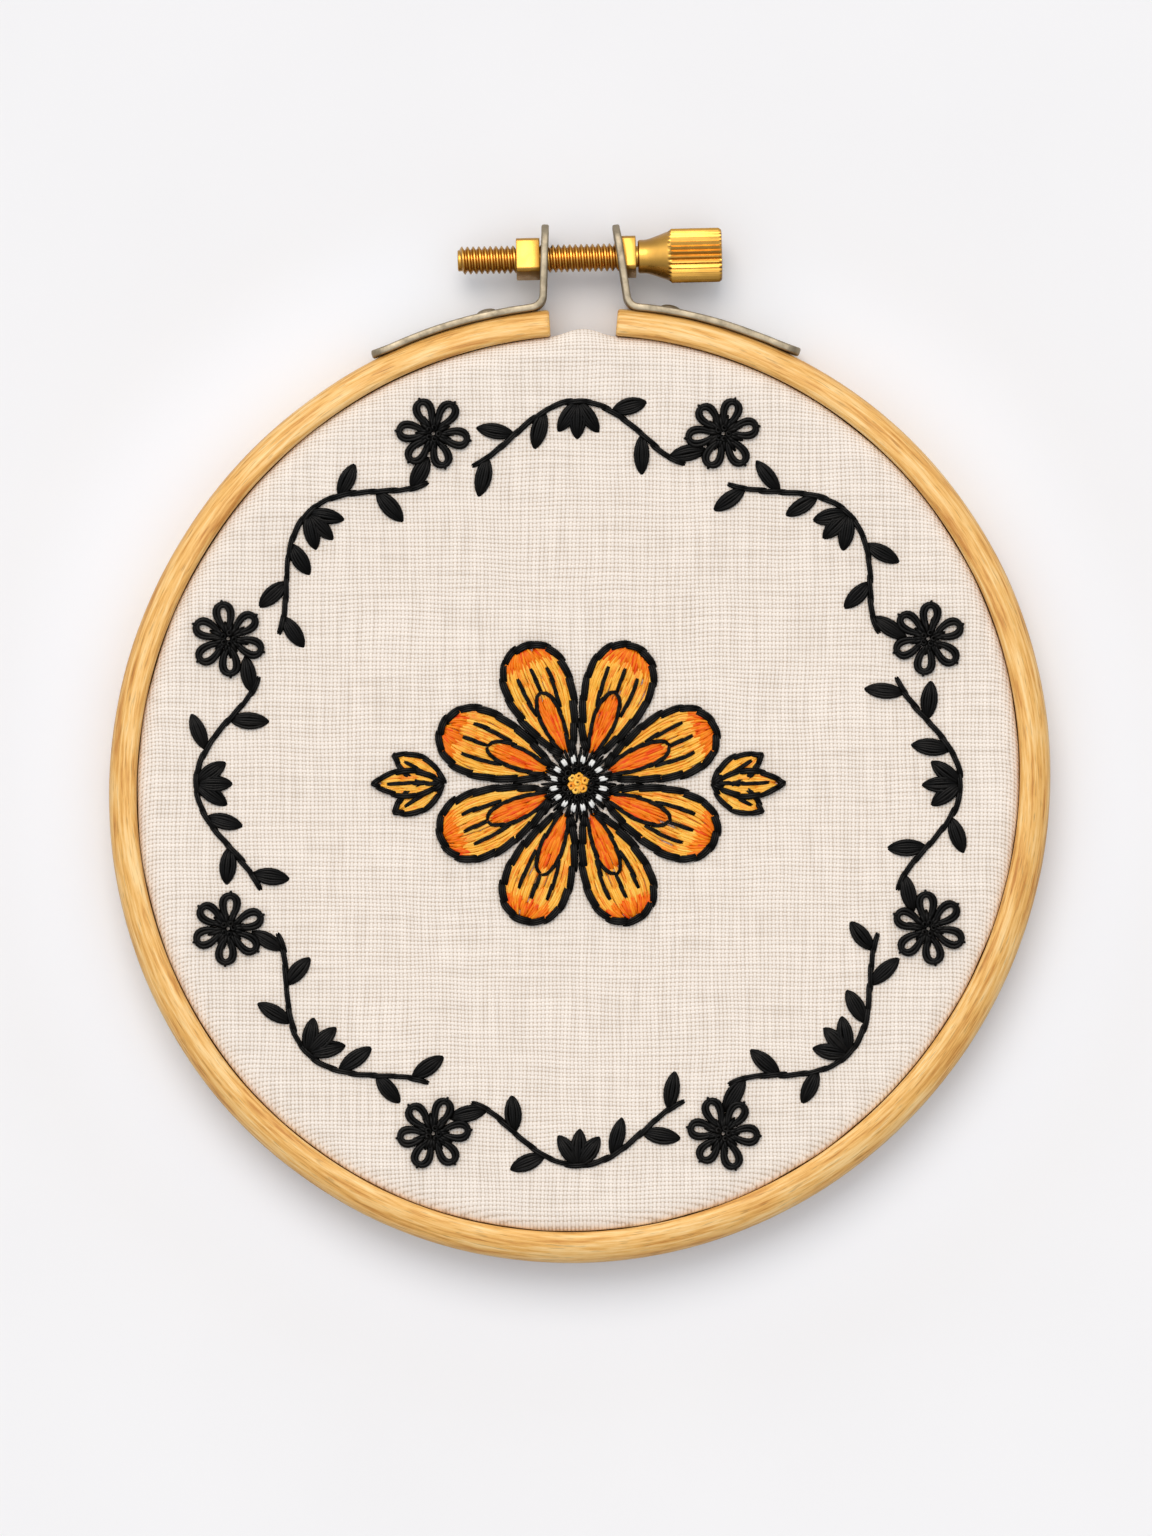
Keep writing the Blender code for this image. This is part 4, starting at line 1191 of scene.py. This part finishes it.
def make_flower_centre(sizes):
    """The flower's middle: a black satin ring with short white rays, round a cluster of French knots."""
    black = Floss("flower_centre_black", 21)
    amber = Floss("flower_centre_amber", 22)
    white = Floss("flower_centre_white", 23)
    spokes = 54
    for layer, (inner, outer, lift) in enumerate(((2.1, 4.35, 0.42), (1.5, 3.2, 0.52))):
        for number in range(spokes - 14 * layer):
            angle = 2 * math.pi * number / (spokes - 14 * layer) + black.jitter(0.03)
            low = (inner + black.jitter(0.15)) * MM
            high = (outer + black.jitter(0.22)) * MM
            black.lay(lambda radius, angle=angle: polar(radius, angle), 0.17 * MM, lift * MM, 4, low, high)
    for number in range(2 * PETALS):
        angle = math.pi * (number + 0.5) / PETALS
        for side in (-0.13, 0.13):
            low, high = (2.25 + white.jitter(0.1)) * MM, (3.45 + white.jitter(0.15)) * MM
            across = Vector((-math.sin(angle), math.cos(angle))) * side * MM

            def ray(radius, angle=angle, across=across):
                return polar(radius, angle) + across

            white.lay(ray, 0.16 * MM, 0.62 * MM, 4, low, high)
    for count, radius, size in ((1, 0.0, 0.36), (6, 0.82, 0.36), (11, 1.6, 0.36)):
        for number in range(count):
            angle = 2 * math.pi * number / count + 0.4 * radius
            floss = black if count == 11 else amber
            middle = polar(radius * MM, angle) + Vector((black.jitter(0.08 * MM), black.jitter(0.08 * MM)))
            floss.knot(middle, size * MM, 0.19 * MM, 0.3 * MM)
    black.finish("black", ["flower_centre"])
    amber.finish("amber", ["flower_centre"])
    white.finish("white", ["flower_centre"])


def make_side_leaves(side, facing, sizes):
    """Three leaves that fan out beside the flower, filled in amber and edged and veined in black."""
    black = Floss(f"side_leaves_{side}_black", 31 if side == "left" else 32)
    amber = Floss(f"side_leaves_{side}_amber", 33 if side == "left" else 34)
    base = polar(SIDE_LEAF_START, facing)
    for turn in (-1, 1, 0):
        length = SIDE_LEAF_LENGTH * (0.8 if turn else 1.0)
        lift = (0.26 if turn else 0.42) * MM
        tip = base + polar(length, facing + turn * SIDE_LEAF_SPREAD)
        shape = Outline(base, tip, SIDE_LEAF_WIDTH - 0.5 * MM, True)
        rows = [(0.08, 0.42), (0.3, 0.66), (0.55, 0.92)]
        long_and_short(amber, shape, rows, sizes.strand, lift)
        stem_stitch(black, shape.edge, 0.72 * sizes.line_width, lift + 0.1 * MM, 0.02, 0.98, 1.8 * MM, 2)

        def midrib(share, shape=shape):
            return shape.at(share, 0.0)

        vein(black, midrib, sizes.line_width, lift + 0.14 * MM, 0.05, 0.8)
    black.finish("black", [f"leaves_{side}"])
    amber.finish("amber", [f"leaves_{side}"])


def vine_path(angle):
    """The garland's wavy stem. A share runs from 0 at its start to 1 at its end."""

    def path(share):
        along = 2 * share - 1
        radius = VINE_PLACE + VINE_SWING * math.cos(math.pi * along)
        return polar(radius, angle + VINE_HALF_SPAN * along)

    return path


def make_garland(number, sizes):
    """One piece of the black garland: a stem, six leaves on alternate sides and three buds at its crest."""
    floss = Floss(f"garland_stitches_{number}", 40 + number)
    path = vine_path(2 * math.pi / REPEATS * (number - 1))
    stem_stitch(floss, path, 0.68 * sizes.line_width, 0.27 * MM, stitch=2.3 * MM, strands=2)
    for count, place in enumerate(VINE_LEAF_PLACES):
        share = (place + 1) / 2
        base = path(share)
        ahead = (path(share + 0.01) - base).normalized() * math.copysign(1, place)
        side = 1 if (count % 2) == (place > 0) else -1
        lean = VINE_LEAF_LEAN + floss.jitter(0.08)
        run = Matrix.Rotation(side * lean, 2) @ ahead
        length = VINE_LEAF_LENGTH * floss.chance.uniform(0.92, 1.04)
        satin_leaf(floss, base, base + run * length, VINE_LEAF_WIDTH, 0.3 * MM)
    crest = path(0.5)
    facing = math.atan2(crest.y, crest.x)
    for turn in (-0.6, 0.0, 0.6):
        length = VINE_LEAF_LENGTH * floss.chance.uniform(0.92, 1.0)
        tip = crest - polar(length, facing + turn + floss.jitter(0.05))
        satin_leaf(floss, crest, tip, VINE_LEAF_WIDTH, 0.34 * MM)
    return floss.finish("black", [f"garland_{number}"])


def loop_path(middle, facing, start, length, width):
    """A teardrop loop, as of a lazy daisy stitch: out on one side, round the tip and back on the other."""
    ahead = polar(1, facing)
    left = Vector((-ahead.y, ahead.x))

    def path(share):
        out = start + length * (1 - math.cos(2 * math.pi * share)) / 2
        bulge = math.sin(2 * math.pi * share) * (0.72 - 0.28 * math.cos(2 * math.pi * share))
        return middle + ahead * out + left * (width / 2) * bulge

    return path


def make_blossom(number):
    """A small black blossom: six daisy loops with the cloth showing inside, round a knotted middle."""
    floss = Floss(f"blossom_stitches_{number}", 60 + number)
    around = 2 * math.pi / REPEATS * (number - 0.5)
    middle = polar(BLOSSOM_PLACE, around)
    for count in range(BLOSSOM_LOOPS):
        facing = around + 2 * math.pi * count / BLOSSOM_LOOPS + floss.jitter(0.07)
        reach = BLOSSOM_RADIUS * floss.chance.uniform(0.94, 1.0) - 0.2 * MM
        start = 1.0 * MM
        for scale, inset in ((1.0, 0.0), (0.6, 0.42 * MM)):
            path = loop_path(middle, facing, start + 0.4 * inset, reach - start - inset, 2.7 * MM * scale)
            floss.lay(path, 0.28 * MM, (0.34 + 0.06 * scale) * MM, 20, 0.02, 0.98, plunge=False)
        tip = middle + polar(reach - 0.25 * MM, facing)
        beyond = middle + polar(reach + 0.35 * MM, facing)
        floss.lay(lambda share, a=tip, b=beyond: a.lerp(b, share), 0.22 * MM, 0.55 * MM, 4)
        NEEDLE_HOLES.append(tuple(middle + polar(start, facing)))
    for count in range(18):
        angle = 2 * math.pi * count / 18 + floss.jitter(0.1)
        outer = floss.chance.uniform(1.8, 2.45) * MM

        def spoke(radius, angle=angle):
            return middle + polar(radius, angle)

        floss.lay(spoke, 0.24 * MM, 0.48 * MM, 4, 0.3 * MM, outer)
    for count in range(5):
        spot = middle + polar(0.66 * MM, 2 * math.pi * count / 5 + floss.jitter(0.2))
        floss.knot(spot, 0.3 * MM, 0.18 * MM, 0.34 * MM)
    return floss.finish("black", [f"blossom_{number}"])


def studio_world():
    """Soft studio light all round, brightest from the lamp's side. The softbox shows only in shiny pieces,
    and the camera sees a plain backdrop."""
    world = bpy.data.worlds.new("studio_light")
    bpy.context.scene.world = world
    world.use_nodes = True
    world.node_tree.nodes.clear()
    nodes = Nodes(world.node_tree)
    direction = nodes.add("ShaderNodeTexCoord").outputs["Generated"]
    facing = nodes.dot(direction, TOWARDS_LIGHT)
    strength = nodes.carry(facing, (-0.5, 0.95), (0.24, 1.0), "SMOOTHSTEP")
    above = nodes.dot(direction, TOWARDS_SOFTBOX)
    softbox = nodes.carry(above, (0.62, 0.97), (0.0, 1.25), "SMOOTHSTEP")
    rays = nodes.add("ShaderNodeLightPath").outputs
    shine = nodes.calc("MULTIPLY", rays["Is Glossy Ray"], softbox)
    both = nodes.calc("ADD", strength, shine)
    light = nodes.add("ShaderNodeBackground", {"Color": from_hex(SKY_COLOUR), "Strength": both})
    backdrop = nodes.add("ShaderNodeBackground", {"Color": from_hex(BACKDROP_SEEN), "Strength": 1.0})
    mixed = nodes.add("ShaderNodeMixShader", {0: rays["Is Camera Ray"], 1: light, 2: backdrop})
    nodes.add("ShaderNodeOutputWorld", {"Surface": mixed})


def studio_lamp():
    """A wide lamp high over the screw's side, a little to the left, which throws soft shadows."""
    data = bpy.data.lights.new("window_light", "SUN")
    data.energy = LAMP_STRENGTH
    data.angle = LAMP_WIDTH
    data.color = from_hex(LAMP_COLOUR)[:3]
    lamp = bpy.data.objects.new("window_light", data)
    lamp.rotation_mode = "QUATERNION"
    lamp.rotation_quaternion = (-TOWARDS_LIGHT).to_track_quat("-Z", "Y")
    bpy.context.scene.collection.objects.link(lamp)


def photo_camera():
    """The camera looks straight down, as the photograph does, and frames the hoop as it is framed there."""
    data = bpy.data.cameras.new("photo_camera")
    data.lens = data.sensor_width * CAMERA_HEIGHT * PIXELS_PER_METRE / IMAGE_SIZE[1]
    camera = bpy.data.objects.new("photo_camera", data)
    across = (IMAGE_SIZE[0] / 2 - HOOP_IN_PHOTO[0]) / PIXELS_PER_METRE
    up = (HOOP_IN_PHOTO[1] - IMAGE_SIZE[1] / 2) / PIXELS_PER_METRE
    camera.location = (MIDDLE.x + across, MIDDLE.y + up, CLOTH_TOP + CAMERA_HEIGHT)
    bpy.context.scene.collection.objects.link(camera)
    bpy.context.scene.camera = camera


class HOOP_OT_stage(bpy.types.Operator):
    """Set the pale floor, the soft light and the camera, and make the finishes"""

    bl_idname = "hoop.stage"
    bl_label = "Stage and Light"

    def execute(self, context):
        make_materials(context)
        bm = bmesh.new()
        bmesh.ops.create_grid(bm, x_segments=8, y_segments=8, size=1.5)
        bmesh.ops.translate(bm, verts=bm.verts, vec=(0, 0, -0.02 * MM))
        floor = object_from(bm, "card_floor", MATERIALS["card"], turned_out=False)
        studio_world()
        studio_lamp()
        photo_camera()
        context.scene.view_settings.view_transform = "Standard"
        return {"FINISHED"}


class HOOP_OT_rings(bpy.types.Operator):
    """Bend the split outer ring and the closed inner ring of bamboo"""

    bl_idname = "hoop.rings"
    bl_label = "Wooden Rings"

    def execute(self, context):
        make_outer_ring()
        make_inner_ring(context.scene.hoop_sizes.cloth_thickness)
        return {"FINISHED"}


class HOOP_OT_strips(bpy.types.Operator):
    """Bend the two steel strips that carry the screw, and pin them to the wood"""

    bl_idname = "hoop.strips"
    bl_label = "Strips and Pins"

    def execute(self, context):
        for side in ("left", "right"):
            make_strip(side)
            make_pin(side)
        return {"FINISHED"}


class HOOP_OT_screw(bpy.types.Operator):
    """Turn the brass thumbscrew and make its nut and collar"""

    bl_idname = "hoop.screw"
    bl_label = "Thumbscrew, Nut and Collar"

    def execute(self, context):
        sizes = context.scene.hoop_sizes
        make_block("brass_nut", NUT_X, 0.0, "screw_nut")
        make_block("brass_collar", COLLAR_X, COLLAR_SLANT, "screw_collar")
        make_thumbscrew(sizes.knurls, sizes.knurl_depth)
        return {"FINISHED"}


class HOOP_OT_flower(bpy.types.Operator):
    """Stitch the large flower and the leaves beside it"""

    bl_idname = "hoop.flower"
    bl_label = "Large Flower"

    def execute(self, context):
        sizes = context.scene.hoop_sizes
        make_petals(sizes)
        make_flower_centre(sizes)
        make_side_leaves("right", 0.0, sizes)
        make_side_leaves("left", math.pi, sizes)
        return {"FINISHED"}


class HOOP_OT_border(bpy.types.Operator):
    """Stitch the border of black garlands and blossoms"""

    bl_idname = "hoop.border"
    bl_label = "Garlands and Blossoms"

    def execute(self, context):
        for number in range(1, REPEATS + 1):
            make_garland(number, context.scene.hoop_sizes)
            make_blossom(number)
        return {"FINISHED"}


class HOOP_OT_cloth(bpy.types.Operator):
    """Stretch the cotton over the inner ring. It comes after the stitches, which draw it down"""

    bl_idname = "hoop.cloth"
    bl_label = "Cotton Cloth"

    def execute(self, context):
        make_cloth(context.scene.hoop_sizes.cloth_thickness)
        return {"FINISHED"}


STEPS = (
    HOOP_OT_stage,
    HOOP_OT_rings,
    HOOP_OT_strips,
    HOOP_OT_screw,
    HOOP_OT_flower,
    HOOP_OT_border,
    HOOP_OT_cloth,
)


class HOOP_PT_panel(bpy.types.Panel):
    """Sizes, colours and building steps of the embroidery hoop"""

    bl_label = "Embroidery Hoop"
    bl_idname = "HOOP_PT_panel"
    bl_space_type = "VIEW_3D"
    bl_region_type = "UI"
    bl_category = "Embroidery Hoop"

    def draw(self, context):
        layout = self.layout
        for group in (context.scene.hoop_sizes, context.scene.hoop_colours):
            box = layout.box()
            for name in group.__annotations__:
                box.prop(group, name)
        for step in STEPS:
            layout.operator(step.bl_idname)


CLASSES = (HoopSizes, HoopColours, *STEPS, HOOP_PT_panel)


def register():
    for cls in CLASSES:
        bpy.utils.register_class(cls)
    bpy.types.Scene.hoop_sizes = bpy.props.PointerProperty(type=HoopSizes)
    bpy.types.Scene.hoop_colours = bpy.props.PointerProperty(type=HoopColours)


def unregister():
    del bpy.types.Scene.hoop_colours
    del bpy.types.Scene.hoop_sizes
    for cls in reversed(CLASSES):
        bpy.utils.unregister_class(cls)


def main():
    register()
    bpy.ops.hoop.stage()
    bpy.ops.hoop.rings()
    bpy.ops.hoop.strips()
    bpy.ops.hoop.screw()
    bpy.ops.hoop.flower()
    bpy.ops.hoop.border()
    bpy.ops.hoop.cloth()


if __name__ == "__main__":
    main()
